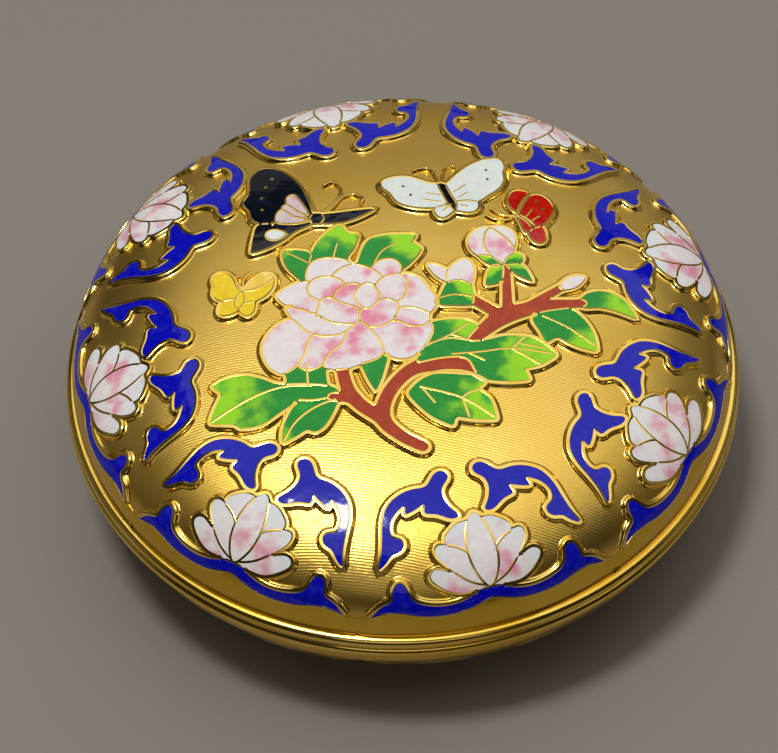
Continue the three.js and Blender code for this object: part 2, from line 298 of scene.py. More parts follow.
def unit_turn(outline, unit=0):
    """A border figure turned to its place on the flattened wall."""
    angle = math.radians(UNIT_START - 360 / UNITS * unit)
    x, y = np.asarray(outline, float).T[:2]
    turned_x = x * math.cos(angle) + y * math.sin(angle)
    turned_y = x * math.sin(angle) - y * math.cos(angle)
    return np.column_stack([turned_x, turned_y])


def seam_point(arc, side):
    """A point on the left or right side of a border unit, some way out from the middle."""
    angle = math.radians(UNIT_HALF * side)
    return [arc * math.sin(angle), arc * math.cos(angle)]


def band_outline(reach):
    """The plain gold band of one unit, from the scroll to the rim."""
    inner = [*BAND_INNER, seam_point(BAND_TIP, 1)]
    turns = np.radians(np.linspace(UNIT_HALF, -UNIT_HALF, 41))
    rim = [[reach * math.sin(turn), reach * math.cos(turn)] for turn in turns]
    return np.array([*mirrored(inner)[::-1], *inner[1:], *rim])


def border_cells(reach, plain):
    """The cells of one border unit. The bowl's plainer one has no inner scrolls."""
    halves = [OUTER_SCROLL] if plain else [OUTER_SCROLL, INNER_SCROLL]
    cells = [Cell("band", unit_turn(band_outline(reach)), joined="band")]
    foot = unit_turn([LOTUS_FOOT])[0]
    for half in halves:
        for drawn in (half, mirrored(half)):
            cells.append(Cell("cobalt", unit_turn(closed_line(drawn)), joined="scroll"))
    for petal in (LOTUS_BACK, LOTUS_LOW, LOTUS_SIDE):
        for drawn in (petal, mirrored(petal)):
            tip = max(drawn[:6], key=lambda p: math.hypot(p[0], p[1] - LOTUS_FOOT[1]))
            cells.append(Cell("lotus", unit_turn(closed_line(drawn)), foot, unit_turn([tip])[0]))
    heart_tip = unit_turn([LOTUS_HEART[4]])[0]
    cells.append(Cell("lotus", unit_turn(closed_line(LOTUS_HEART)), foot, heart_tip))
    return cells


# ------------------------------------------------------------------ the spray of peony
# x to the right and y to the back, from the middle of the lid.
PEONY_HEART = (-5.3, -0.4)
PEONY_GROUND = [
    [-14.5, 5.5], [-3.5, 5], [0.5, 3.5], [4.5, -0.5], [4.5, -6], [2.5, -10], [-3, -12], [-9, -13.5],
    [-15, -13.5], [-20, -10.5], [-18.5, -6], [-16, -3.5], [-18.5, -0.8], [-15.5, 2.5],
]
PEONY_PETALS = [
    [[-15.1, 3.2], [-15.3, 5.8], [-14.2, 7.8], [-11.4, 8.4], [-8.0, 7.0], [-9.3, 2.8]],
    [[-4.7, 5.0], [-3.0, 7.3], [-0.3, 7.2], [0.5, 5.0], [-1.0, 3.0], [-3.2, 3.1]],
    [[-11.2, 3.6], [-9.8, 5.7], [-7.0, 6.6], [-4.0, 5.0], [-2.4, 2.9], [-6.0, 1.5], [-9.3, 2.1]],
    [[0.4, 3.9], [3.1, 3.3], [4.8, 0.7], [6.1, -2.2], [4.8, -4.4], [-0.2, -3.4], [-0.4, 0.0]],
    [[-3.6, 2.4], [-1.6, 3.9], [0.6, 3.8], [1.4, 1.4], [0.5, -1.3], [-1.9, -2.0], [-4.0, -0.1]],
    [[-20.5, 0.9, 1], [-18.1, 2.7], [-15.0, 3.4], [-12.8, 0.5], [-12.4, -2.2], [-13.8, -3.3], [-16.0, -2.2],
     [-18.9, -1.2]],
    [[-15.2, 2.2], [-14.0, 3.9], [-11.5, 4.2], [-9.0, 2.6], [-10.0, -0.5], [-12.3, -1.2], [-14.7, 0.2]],
    [[-22.8, -9.9], [-22.1, -7.6], [-20.1, -5.2], [-17.6, -4.4], [-14.0, -7.8], [-15.0, -10.7],
     [-17.3, -14.1], [-19.7, -15.2], [-21.6, -13.7]],
    [[-17.1, -14.0, 1], [-15.8, -11.6], [-14.7, -8.2], [-11.2, -7.6], [-8.6, -7.0], [-9.4, -9.8],
     [-11.9, -12.6], [-13.5, -14.5], [-15.7, -14.9]],
    [[-5.3, -6.8], [-0.8, -6.0], [4.6, -6.2], [5.2, -8.3], [2.4, -12.9], [-0.3, -13.7], [-2.7, -12.4],
     [-4.2, -10.2]],
    [[-12.9, -14.4], [-11.8, -11.9], [-9.6, -9.8], [-8.7, -7.0], [-6.8, -5.6], [-4.9, -7.4],
     [-2.9, -11.9], [-3.8, -13.3], [-6.5, -14.3], [-9.7, -15.2]],
    [[-18.8, -1.6], [-16.0, -2.8], [-12.8, -4.6], [-7.1, -5.4], [-9.3, -7.8], [-12.3, -8.3], [-15.0, -7.4],
     [-17.4, -4.7]],
    [[-0.8, -4.9], [0.0, -3.2], [2.8, -3.5], [4.6, -4.7], [4.3, -6.8], [1.6, -7.1]],
    [[-10.9, -0.3], [-9.3, 2.0], [-6.8, 2.4], [-5.9, -1.0], [-6.4, -3.3], [-9.1, -2.6]],
    [[-13.5, -2.8], [-12.9, -0.7], [-11.7, -0.1], [-10.0, -1.3], [-6.8, -3.2], [-7.0, -5.9], [-9.8, -5.9],
     [-12.5, -4.8]],
    [[-6.8, -4.1], [-5.6, -2.8], [-2.0, -1.1], [-0.2, -2.6], [-1.0, -5.2], [-3.8, -7.0], [-6.0, -6.3]],
    [[-5.3, 2.5], [-3.2, -0.4], [-5.3, -3.2], [-7.5, -0.3]],
]
LEAVES = [  # outline, root and tip of each, the lowest first
    ([[-19.3, -12.8, 1], [-18.8, -17.8, 1], [-12.3, -18.6, 1], [-12.7, -12.8, 1]], [-15, -20], [-15, 2]),
    ([[-6.6, -13.0], [-2.6, -12.5], [-3.2, -16.5], [-4.5, -20.0, 1], [-5.9, -17.0]], [-4, -10], [-4, -34]),
    ([[-19.3, 10.8, 1], [-17.2, 10.7], [-14.6, 9.6], [-14.6, 6.0], [-15.0, 3.0], [-17.9, 5.9], [-19.1, 8.4]],
     [-14, 3], [-21, 17]),
    ([[-14.8, 5.5], [-14.0, 10.6], [-11.9, 13.9], [-9.4, 15.9, 1], [-8.4, 13.7, 1], [-6.3, 13.4, 1],
      [-7.2, 10.3], [-8.4, 8.2], [-8.4, 5.0], [-13.1, 4.5]], [-12, 5.5], [-8.6, 14.6]),
    ([[-6.5, 5.0], [-6.0, 9.4], [-4.6, 12.0], [-1.6, 12.8], [3.4, 12.7, 1], [2.4, 11.0, 1], [4.2, 9.6, 1],
      [2.9, 7.4], [0.4, 5.0]], [-4.5, 5], [2.4, 12]),
    ([[5.0, -6.6], [8.0, -6.0], [11.4, -6.4], [12.6, -7.7], [11.9, -10.9, 1], [7.5, -11], [3.4, -11.4],
      [3.0, -8.5]], [3, -9.6], [12.4, -7.5]),
    ([[-31.4, -16.2, 1], [-28.6, -14.9], [-25.7, -14.8], [-23.2, -15.7], [-20.6, -17.1], [-15.1, -17.7],
      [-10.8, -18.9], [-10.8, -21.5], [-14.9, -21.7], [-17.0, -20.5, 1], [-19.9, -22.5], [-23.3, -24.6],
      [-26.8, -24.9, 1], [-27.3, -24.0, 1], [-31.8, -23.2, 1], [-30.9, -20.7], [-29.5, -17.9, 1]],
     [-13, -19], [-31.4, -20.5]),
    ([[-17.0, -20.5, 1], [-14.8, -20.8], [-10.8, -20.7], [-11.9, -24.2], [-13.5, -26.4], [-14.8, -26.9, 1],
      [-15.7, -26.1, 1], [-17.2, -27.1], [-19.9, -28.4, 1], [-19.8, -26.0], [-18.5, -22.8]],
     [-12, -21], [-22, -33]),
    ([[30.0, -1.9], [31.4, -0.4], [34.2, 0.1], [37.1, -1.2], [39.3, -5.2, 1], [36.0, -4.0], [33.0, -3.4],
      [30.3, -3.6]], [29, -2.6], [38, -3]),
    ([[21.6, -6.0], [27.1, -3.6], [29.8, -5.5], [31.6, -8.9], [32.0, -12.6, 1], [28.5, -11.6],
      [25.5, -9.7, 1], [23.6, -11.2, 1], [22.6, -8.5]], [24, -4.5], [30.5, -13.5]),
]
FRONT_LEAVES = [  # these lie over the branch
    ([[2.2, -14.7, 1], [3.5, -11.7], [7.5, -9.9], [12.8, -10.6], [17.5, -9.6], [21.8, -10.2], [24.0, -12.1],
      [25.3, -13.5, 1], [22.4, -15.5], [19.6, -16.2, 1], [20.6, -18.5, 1], [16.4, -18.7], [12.4, -17.8],
      [10.3, -14.0], [6.8, -13.8]], [5, -13], [24, -14]),
    ([[0.5, -20.5, 1], [2.8, -18.0], [5.8, -16.8], [10.1, -17.0], [13.4, -18.7, 1], [11.8, -20.1, 1],
      [13.7, -21.8], [14.8, -26.0, 1], [10.8, -25.8], [8.1, -25.2, 1], [7.7, -27.1, 1], [4.3, -25.1],
      [1.9, -22.6]], [1, -20], [14, -24]),
]
BRANCHES = [
    [[2.7, -30.6, 0.95], [-0.8, -28.4, 1.0], [-3.5, -25.2, 1.2], [-2.6, -20.6, 1.1], [1.6, -15.8, 1.2],
     [6.0, -14.9, 1.5], [12, -15.4, 1.6]],
    [[-10.2, -13.5, 0.9], [-8.4, -20.6, 1.1], [-3.4, -25.4, 1.1]],
    [[-11.6, -20.4, 0.8], [-7.8, -20.8, 0.9]],
    [[11.6, -10.4, 0.9], [16.4, -6.0, 1.5], [22.6, -3.7, 1.2], [30.4, -2.6, 0.7]],
    [[17.6, -5.4, 0.9], [18, 5.4, 0.6]],
    [[16, -5.0, 1.0], [11.6, -1.6, 0.8]],
    [[21, -3.8, 0.9], [26.8, 0.5, 0.6]],
]
BUDS = [
    ("peony", [[4.7, 5.9, 1], [6.1, 5.9], [8.2, 4.3], [8.6, 1.8], [6.4, 3.0]]),
    ("peony", [[8.0, 3.8], [9.8, 6.2], [11.5, 6.8], [12.4, 5.4], [12.4, 2.9], [11.4, 0.6], [8.3, 1.4]]),
    ("leaf", [[7.9, 1.6], [9.9, 2.3], [11.8, 1.3], [12.2, -0.6], [11.9, -3.0], [9.0, -3.1], [6.2, -2.6],
              [7.0, -0.3]]),
    ("peony", [[15.8, 13.7], [14.0, 13.6], [12.2, 11.8], [11.9, 10.0], [12.9, 7.9], [16.4, 7.2]]),
    ("peony", [[16.0, 13.7], [17.5, 14.1], [19.2, 13.3], [19.9, 11.2], [19.5, 9.1], [17.6, 7.4]]),
    ("peony", [[15.6, 13.7], [16.6, 13.1], [19.5, 9.0], [17.4, 5.6], [15.1, 8.1], [14.5, 10.4]]),
    ("leaf", [[17.5, 5.5, 1], [15.2, 7.4], [13.4, 7.6, 1], [14.2, 6.3], [15.9, 5.3]]),
    ("leaf", [[17.6, 5.3, 1], [15.3, 4.6], [14.2, 0.9, 1], [16.8, 1.6]]),
    ("leaf", [[17.5, 5.5, 1], [18.9, 7.6], [20.8, 7.8], [20.7, 6.0], [18.9, 5.2]]),
    ("leaf", [[17.8, 5.3, 1], [20.5, 5.4], [22.3, 1.7, 1], [19.8, 3.1]]),
    ("peony", [[26.3, 0.3, 1], [27.7, 2.3], [29.7, 3.3], [31.3, 3.1, 1], [29.7, 0.9], [27.8, 0.1]]),
]

# Butterflies: fill and outline of each cell, the lowest first.
BUTTERFLIES = [
    # black, at the back left
    ("black", [[-17.3, 14.8], [-14.2, 16.6], [-16, 17.4], [-20.4, 17.2], [-23.4, 17.3], [-24.3, 14.1],
               [-24.7, 10.8, 1], [-21.9, 11.6], [-19.2, 13.1]]),
    ("black", [[-14.2, 18.4], [-15.6, 24.2], [-17.9, 28.6], [-20.4, 31.0], [-22.8, 31.7], [-24.7, 29.8],
               [-24.9, 25.3, 1], [-26.0, 22.9], [-24.8, 20.9, 1], [-24.5, 18.9], [-22.8, 17.5],
               [-20.7, 17.3], [-17.3, 16.6], [-14.4, 17.2]]),
    ("blush", [[-14.7, 18.4], [-16.1, 22.0], [-17.4, 24.0], [-18.5, 23.2], [-18.6, 21.5], [-16.7, 19.7]]),
    ("blush", [[-14.8, 17.8], [-16.7, 19.7], [-18.7, 21.6], [-19.5, 20.7], [-17.3, 18.5]]),
    ("blush", [[-14.9, 17.4], [-17.3, 18.5], [-19.5, 20.5], [-20.6, 18.1], [-20.1, 17.2], [-16.7, 16.8]]),
    ("white", [[-18.2, 14.5, 1], [-20.4, 15.8], [-21.7, 15.6], [-22.3, 14.6], [-21.4, 13.4], [-19.9, 13.3]]),
    ("black", [[-12.8, 18.2], [-9.7, 18.6], [-6.7, 18.9], [-3.4, 19.1, 1], [-5.9, 17.5], [-9.0, 16.3],
               [-12.9, 16.6]]),
    ("black", [[-14.8, 17.7], [-13.5, 18.9], [-12.2, 18.1], [-12.5, 16.6], [-14.0, 16.4]]),
    # white, at the back
    ("white", [[8.2, 23.8], [5.6, 24.8], [2.7, 26.3], [0.5, 26.5], [-1.8, 25.7], [-2.3, 24.7],
               [-0.7, 22.7, 1], [0.3, 20.6], [2.7, 19.2], [6.8, 18.8], [9.0, 19.4]]),
    ("white", [[8.8, 23.4], [10.8, 26.6], [13.2, 29.1], [16.2, 30.8], [18.3, 31.0], [19.1, 29.1],
               [18.6, 27.4, 1], [18.8, 25.7], [18.0, 23.6], [15.7, 21.4], [13.8, 20.0], [10.4, 19.8]]),
    ("white", [[10.2, 19.9], [13.9, 20.0], [14.1, 18.8], [13.3, 17.6], [10.4, 18.1]]),
    ("white", [[9.0, 19.2], [7.1, 18.8], [6.6, 17.8], [7.8, 16.2], [9.2, 17.2], [10.0, 18.4]]),
    ("black", [[7.7, 24.8], [8.6, 24.4], [9.4, 22.2], [10.5, 19.1], [10.1, 17.9], [8.9, 19.7], [8.0, 22.3],
               [7.5, 23.8]]),
    # red, at the back right
    ("red", [[20.5, 17.4, 1], [19.3, 19.3], [19.4, 21.0], [20.3, 22.6], [21.6, 22.7], [22.9, 22.2],
             [21.8, 20.4]]),
    ("red", [[20.9, 16.8], [21.5, 18.9], [22.5, 20.8], [23.7, 21.8], [25.0, 21.7], [26.4, 20.1],
             [26.8, 18.2], [25.7, 15.7], [23.4, 13.6], [22.8, 15.0], [21.6, 16.3]]),
    ("red", [[20.5, 16.7], [21.8, 15.8], [23.0, 14.4], [22.9, 13.4], [21.8, 12.6], [21.2, 14.6]]),
    ("red", [[22.6, 13.3], [23.5, 13.8], [24.6, 14.1], [25.1, 12.6], [24.8, 10.7], [24.0, 10.2], [22.6, 11.2],
             [22.4, 12.3]]),
    # yellow, on the left
    ("yellow", [[-26.2, 2.0], [-27.2, 4.4], [-28.4, 6.7], [-29.6, 7.3], [-30.9, 6.8], [-31.1, 5.4],
                [-30.7, 4.3, 1], [-31.1, 3.2], [-30.5, 1.6], [-29.1, 0.9], [-27, 0.6]]),
    ("yellow", [[-27.0, 0.9], [-29.3, 0.9], [-30.1, -1.3], [-29.6, -2.1], [-26.9, -1.5]]),
    ("yellow", [[-26.0, 0.2], [-24.2, 0.5], [-24.0, -1.5], [-24.9, -2.8], [-25.7, -2.6], [-26.6, -1.3]]),
    ("gold", [[-25.6, 2.2], [-25.0, 4.0], [-23.9, 5.2], [-22.5, 6.0], [-20.8, 5.3], [-20.9, 4.2],
              [-24.0, 2.4]]),
    ("yellow", [[-26.0, 2.5], [-24.0, 2.6], [-20.7, 4.6, 1], [-20.9, 2.9], [-22.1, 1.2], [-23.7, 0.3],
                [-26.0, 0.1]]),
    ("yellow", [[-26.0, 2.6], [-25.6, 0.8], [-26.5, -1.1], [-27.1, -1.0], [-27.2, 0.7], [-26.6, 1.9]]),
]

LEAF_VEINS = [
    [[-15.6, -13.5], [-15.4, -18.2]],
    [[-19.3, 10.7], [-17.2, 9.3], [-15.0, 7.6]],
    [[-10.9, 8.0], [-10.1, 11.4]],
    [[-4.3, 6.0], [-2.6, 9.2], [-0.2, 10.9]],
    [[6.5, -1.4], [9.2, -0.8], [12.0, -1.3]],
    [[4.4, -10.8], [7.6, -9.4], [11.2, -6.8]],
    [[8.2, -9.1], [11.9, -10.7]],
    [[8.0, -13.1], [12.6, -12.8], [17.9, -12.2], [24.4, -13.2]],
    [[10.9, -13.0], [13.4, -14.5]],
    [[17.9, -12.2], [20.1, -9.9]],
    [[17.9, -12.2], [22.4, -15.4]],
    [[19.2, -11.2], [23.3, -12.2]],
    [[2.6, -19.3], [9.3, -21.7], [14.4, -25.4]],
    [[2.9, -19.5], [5.0, -22.6]],
    [[9.3, -21.7], [10.5, -20.8], [12.2, -20.2]],
    [[9.4, -21.8], [10.3, -25.4]],
    [[23.3, -5.5], [27.6, -8.0], [31.7, -11.4]],
    [[-31.4, -22.9], [-26.2, -20.0], [-22.0, -18.3], [-18.7, -17.7], [-14.8, -18.0]],
    [[-19.6, -27.9], [-17.8, -24.9], [-15.6, -22.9], [-13.4, -21.7], [-11.0, -20.9]],
]
WING_VEINS = [
    [[7.8, 21.7], [5.2, 22.3]],
    [[7.8, 20.1], [4.8, 20.7]],
    [[10.0, 22.3], [12.2, 24.2]],
    [[10.7, 20.9], [12.5, 22.3]],
    [[11.0, 19.3], [12.4, 18.8]],
    [[8.8, 18.7], [8.0, 17.8]],
    [[22.8, 15.2], [23.4, 15.9], [24.4, 16.6]],
    [[21.9, 16.3], [22.5, 17.1], [23.1, 18.2]],
]
FEELERS = [
    [[-12.4, 18.9], [-10.9, 20.5], [-9.5, 22.6], [-9.3, 24.8], [-10.6, 26.4], [-12.2, 25.6]],
    [[-11.9, 18.8], [-10.3, 20.5], [-8.9, 22.5], [-7.0, 23.0], [-5.5, 22.0], [-5.9, 20.6]],
    [[7.6, 24.9], [7.0, 27.1], [6.2, 28.5], [4.8, 28.7], [3.2, 28.1]],
    [[8.2, 24.9], [8.4, 27.1], [8.8, 28.6], [9.9, 29.3], [10.7, 29.0]],
    [[20.5, 16.9], [19.0, 16.6], [17.4, 17.2], [16.2, 18.4]],
    [[20.4, 16.7], [18.6, 15.6], [16.8, 15.8], [15.2, 16.8]],
    [[-26.4, 2.6], [-27.3, 4.8], [-27.0, 6.1], [-25.8, 5.8]],
    [[-26.0, 2.6], [-26.0, 4.4], [-25.4, 6.0], [-24.6, 6.6]],
]
GOLD_DOTS = [[-21.0, 28.4], [-22.1, 26.4], [-22.8, 23.7], [-22.7, 20.8], [24.1, 20.1], [25.0, 18.3]]
GREY_DOTS = [[1.5, 24.1], [2.7, 21.9], [15.9, 27.9], [16.0, 25.5]]


def spray_cells():
    """The peony, its leaves, buds and branch, the lowest cell first."""
    cells = []

    def add_leaves(leaves):
        for outline, root, tip in leaves:
            cells.append(Cell("leaf", closed_line(outline), root, tip))

    add_leaves(LEAVES)
    for branch in BRANCHES:
        cells.append(Cell("branch", ribbon(branch), joined="branch"))
    add_leaves(FRONT_LEAVES)
    cells.append(Cell("gap", closed_line(PEONY_GROUND)))
    for petal in PEONY_PETALS:
        outline = closed_line(petal)
        away = np.linalg.norm(outline - PEONY_HEART, axis=1)
        cells.append(Cell("peony", outline, outline[away.argmin()], outline[away.argmax()]))
    for fill, outline in BUDS:
        cells.append(Cell(fill, closed_line(outline), outline[-1][:2], outline[1][:2]))
    return cells


def butterfly_cells():
    return [Cell(fill, closed_line(outline, 0.4)) for fill, outline in BUTTERFLIES]


# ------------------------------------------------------------------ cutting the drawing into cells
def is_inside(points, outline):
    """Which points lie inside an outline, which may cross itself."""
    x, y = points[:, :1], points[:, 1:]
    x0, y0 = outline.T
    x1, y1 = np.roll(outline, -1, axis=0).T
    side = (x1 - x0) * (y - y0) - (x - x0) * (y1 - y0)
    winding = ((y0 <= y) & (y1 > y) & (side > 0)).sum(1)
    winding = winding - ((y0 > y) & (y1 <= y) & (side < 0)).sum(1)
    return winding != 0


class Cut:
    """A drawing cut into triangles, each with the topmost cell over it, or -1 for the open ground."""

    def __init__(self, cells):
        self.cells = cells
        corners, edges = [], []
        for cell in cells:
            first, count = len(corners), len(cell.outline)
            corners.extend(cell.outline)
            edges.extend((first + i, first + (i + 1) % count) for i in range(count))
        corners = np.array(corners)
        spare = self.spare_points(corners)
        points = [Vector(p) for p in np.vstack([corners, spare])]
        made = delaunay_2d_cdt(points, edges, [], 0, 1e-4, False)
        self.points = np.array([list(p) for p in made[0]])
        self.triangles = np.array([face for face in made[2] if len(face) == 3])
        self.labels = self.label()
        kept = self.labels >= 0
        self.triangles, self.labels = self.triangles[kept], self.labels[kept]

    def spare_points(self, corners):
        """A grid of points within the cells, clear of their outlines, so that their faces stay small."""
        low, high = corners.min(0), corners.max(0)
        across = np.arange(low[0], high[0], GRID_STEP)
        along = np.arange(low[1], high[1], GRID_STEP)
        grid = np.array([(x + 0.37 * (i % 2), y) for i, y in enumerate(along) for x in across])
        covered = np.zeros(len(grid), bool)
        for cell in self.cells:
            covered |= is_inside(grid, cell.outline)
        near = KDTree(len(corners))
        for i, corner in enumerate(corners):
            near.insert((*corner, 0), i)
        near.balance()
        clear = [p for p in grid[covered] if near.find((*p, 0))[2] > 0.45 * GRID_STEP]
        return np.array(clear).reshape(-1, 2)

    def label(self):
        centres = self.points[self.triangles].mean(1)
        labels = np.full(len(centres), -1)
        for number, cell in enumerate(self.cells):
            low, high = cell.outline.min(0), cell.outline.max(0)
            close = np.flatnonzero(((centres >= low) & (centres <= high)).all(1))
            hit = close[is_inside(centres[close], cell.outline)]
            labels[hit] = number
        return self.close_gaps(centres, labels)

    def close_gaps(self, centres, labels):
        """Gives what is left between petals to the nearest petal."""
        gaps = [n for n, cell in enumerate(self.cells) if cell.fill == "gap"]
        petals = [n for n, cell in enumerate(self.cells) if cell.fill == "peony"]
        lost = np.flatnonzero(np.isin(labels, gaps))
        if len(lost) == 0:
            return labels
        owners = [(p, n) for n in petals for p in self.cells[n].outline]
        near = KDTree(len(owners))
        for i, (p, _) in enumerate(owners):
            near.insert((*p, 0), i)
        near.balance()
        for i in lost:
            labels[i] = owners[near.find((*centres[i], 0))[1]][1]
        return labels

    def group(self, label):
        """What a label is joined with, so that no wire runs between them."""
        cell = self.cells[label]
        return cell.joined or int(label)

    def borders(self):
        """Pairs of points along the cells' borders: against the open ground, which is then on their right,
        and between two cells."""
        left_of = {}
        for triangle, label in zip(self.triangles.tolist(), self.labels.tolist()):
            for i in range(3):
                left_of[triangle[i], triangle[(i + 1) % 3]] = label
        open_side, between = [], []
        for (a, b), label in left_of.items():
            other = left_of.get((b, a))
            if other is None:
                open_side.append((a, b))
            elif a < b and self.group(other) != self.group(label):
                between.append((a, b))
        return open_side, between


def joined_lines(pairs, stops=()):
    """Chains of points from pairs of them. A chain ends where three pairs meet, and at a stop."""
    near = defaultdict(list)
    for a, b in pairs:
        near[a].append(b)
        near[b].append(a)
    ends = {p for p in near if len(near[p]) != 2 or p in stops}
    used, ways, chains = set(), set(pairs), []
    for start in [*sorted(ends), *near]:
        for step in near[start]:
            if frozenset((start, step)) in used:
                continue
            chain = [start, step]
            used.add(frozenset(chain))
            while chain[-1] not in ends and chain[-1] != start:
                onward = [p for p in near[chain[-1]] if frozenset((chain[-1], p)) not in used]
                if not onward:
                    break
                used.add(frozenset((chain[-1], onward[0])))
                chain.append(onward[0])
            chains.append(chain if (chain[0], chain[1]) in ways else chain[::-1])
    return chains


def even_line(line, closed):
    """The same line with even steps, its small kinks bent round as a wire is."""
    if closed:
        line = np.vstack([line, line[:1]])
    lengths = np.append(0, np.cumsum(np.linalg.norm(np.diff(line, axis=0), axis=1)))
    count = max(3 if closed else 1, round(lengths[-1] / LINE_STEP))
    at = np.linspace(0, lengths[-1], count + 1)
    even = np.column_stack([np.interp(at, lengths, line[:, k]) for k in range(2)])
    if closed:
        even = even[:-1]
    for _ in range(BENDS):
        before, after = np.roll(even, 1, 0), np.roll(even, -1, 0)
        bent = 0.5 * even + 0.25 * (before + after)
        if not closed:
            bent[0], bent[-1] = even[0], even[-1]
        even = bent
    return even


class Lines:
    """Lines drawn flat that wires will follow: points, pairs of them, and how far a bend widens the wire."""

    def __init__(self):
        self.points, self.pairs, self.mitres = [], [], []

    def add(self, line, closed=False, width=1.0):
        count, first = len(line), len(self.points)
        before = np.roll(line, 1, 0)
        after = np.roll(line, -1, 0)
        if not closed:
            before[0], after[-1] = 2 * line[0] - line[1], 2 * line[-1] - line[-2]
        inward, onward = line - before, after - line
        inward /= np.maximum(np.linalg.norm(inward, axis=1), 1e-9)[:, None]
        onward /= np.maximum(np.linalg.norm(onward, axis=1), 1e-9)[:, None]
        half_turn = np.linalg.norm(inward + onward, axis=1) / 2
        self.points.extend(line)
        self.mitres.extend(width / np.clip(half_turn, 0.65, 1))
        self.pairs.extend((first + i, first + i + 1) for i in range(count - 1))
        if closed:
            self.pairs.append((first + count - 1, first))

    def mesh(self, name, wall):
        """The lines as bare edges on the wall, with the values that the wire trees read.

        The bowl's wall faces down, so lines run the other way there to keep their left side.
        """
        mesh = bpy.data.meshes.new(name)
        pairs = self.pairs if wall.way > 0 else [(b, a) for a, b in self.pairs]
        mesh.from_pydata(wall.place(self.points).tolist(), pairs, [])
        facing = mesh.attributes.new("facing", "FLOAT_VECTOR", "POINT")
        facing.data.foreach_set("vector", wall.outward(self.points).ravel())
        mitre = mesh.attributes.new("mitre", "FLOAT", "POINT")
        mitre.data.foreach_set("value", np.array(self.mitres))
        return mesh


def drawn_lines(cut, left_out=None):
    """The raised figures' outer edges, but for what is left out, and the wires between their cells."""
    open_side, between = cut.borders()
    if left_out is not None:
        open_side = [(a, b) for a, b in open_side if not left_out(cut.points[[a, b]])]
    edges, wires = Lines(), Lines()
    for lines, pairs, stops in ((edges, open_side, ()), (wires, between, {p for e in open_side for p in e})):
        for chain in joined_lines(pairs, stops):
            closed = chain[0] == chain[-1]
            line = cut.points[chain[:-1] if closed else chain]
            length = np.linalg.norm(np.diff(line, axis=0), axis=1).sum()
            if length > 0.25:
                lines.add(even_line(line, closed), closed)
    return edges, wires


# ------------------------------------------------------------------ node trees
VALUE_KINDS = {float: "Float", int: "Int", tuple: "Color"}


def wired(tree, kind, links=None, **settings):
    """A new node. Each link is a value for the named input, or what to join to it: an output, or a node,
    which stands for its first output."""
    made = tree.nodes.new(kind)
    for name, value in settings.items():
        setattr(made, name, value)
    for name, value in (links or {}).items():
        socket = made.inputs[name]
        if isinstance(value, bpy.types.Node):
            value = value.outputs[0]
        if isinstance(value, bpy.types.NodeSocket):
            tree.links.new(value, socket)
        else:
            socket.default_value = value
    return made


def new_tree(name, kind, inputs, outputs):
    """A node group. A named input has its usual value, or the kind of thing that it takes."""
    tree = bpy.data.node_groups.new(name, kind)

    def add_socket(label, way, takes):
        return tree.interface.new_socket(name=label, in_out=way, socket_type="NodeSocket" + takes)

    for label, value in inputs.items():
        if isinstance(value, str):
            add_socket(label, "INPUT", value)
        else:
            add_socket(label, "INPUT", VALUE_KINDS[type(value)]).default_value = value
    for label, takes in outputs.items():
        add_socket(label, "OUTPUT", takes)
    return tree, tree.nodes.new("NodeGroupInput").outputs, tree.nodes.new("NodeGroupOutput").inputs


def math_node(tree, operation, a, b=0.0):
    return wired(tree, "ShaderNodeMath", {0: a, 1: b}, operation=operation).outputs[0]


def maths(tree):
    """A short way to add a tree's math nodes."""
    return lambda operation, a, b=0.0: math_node(tree, operation, a, b)


def attribute_node(tree, name, data_type="FLOAT"):
    return wired(tree, "GeometryNodeInputNamedAttribute", {"Name": name}, data_type=data_type)


def smooth_range(tree, value, low, high, start=0.0, end=1.0):
    """Brings values from low to high smoothly over to values from start to end."""
    span = {"Value": value, "From Min": low, "From Max": high, "To Min": start, "To Max": end}
    return wired(tree, "ShaderNodeMapRange", span, interpolation_type="SMOOTHSTEP")


def noise_node(tree, place, scale, detail):
    links = {"Vector": place, "Scale": scale, "Detail": detail}
    return wired(tree, "ShaderNodeTexNoise", links).outputs["Fac"]


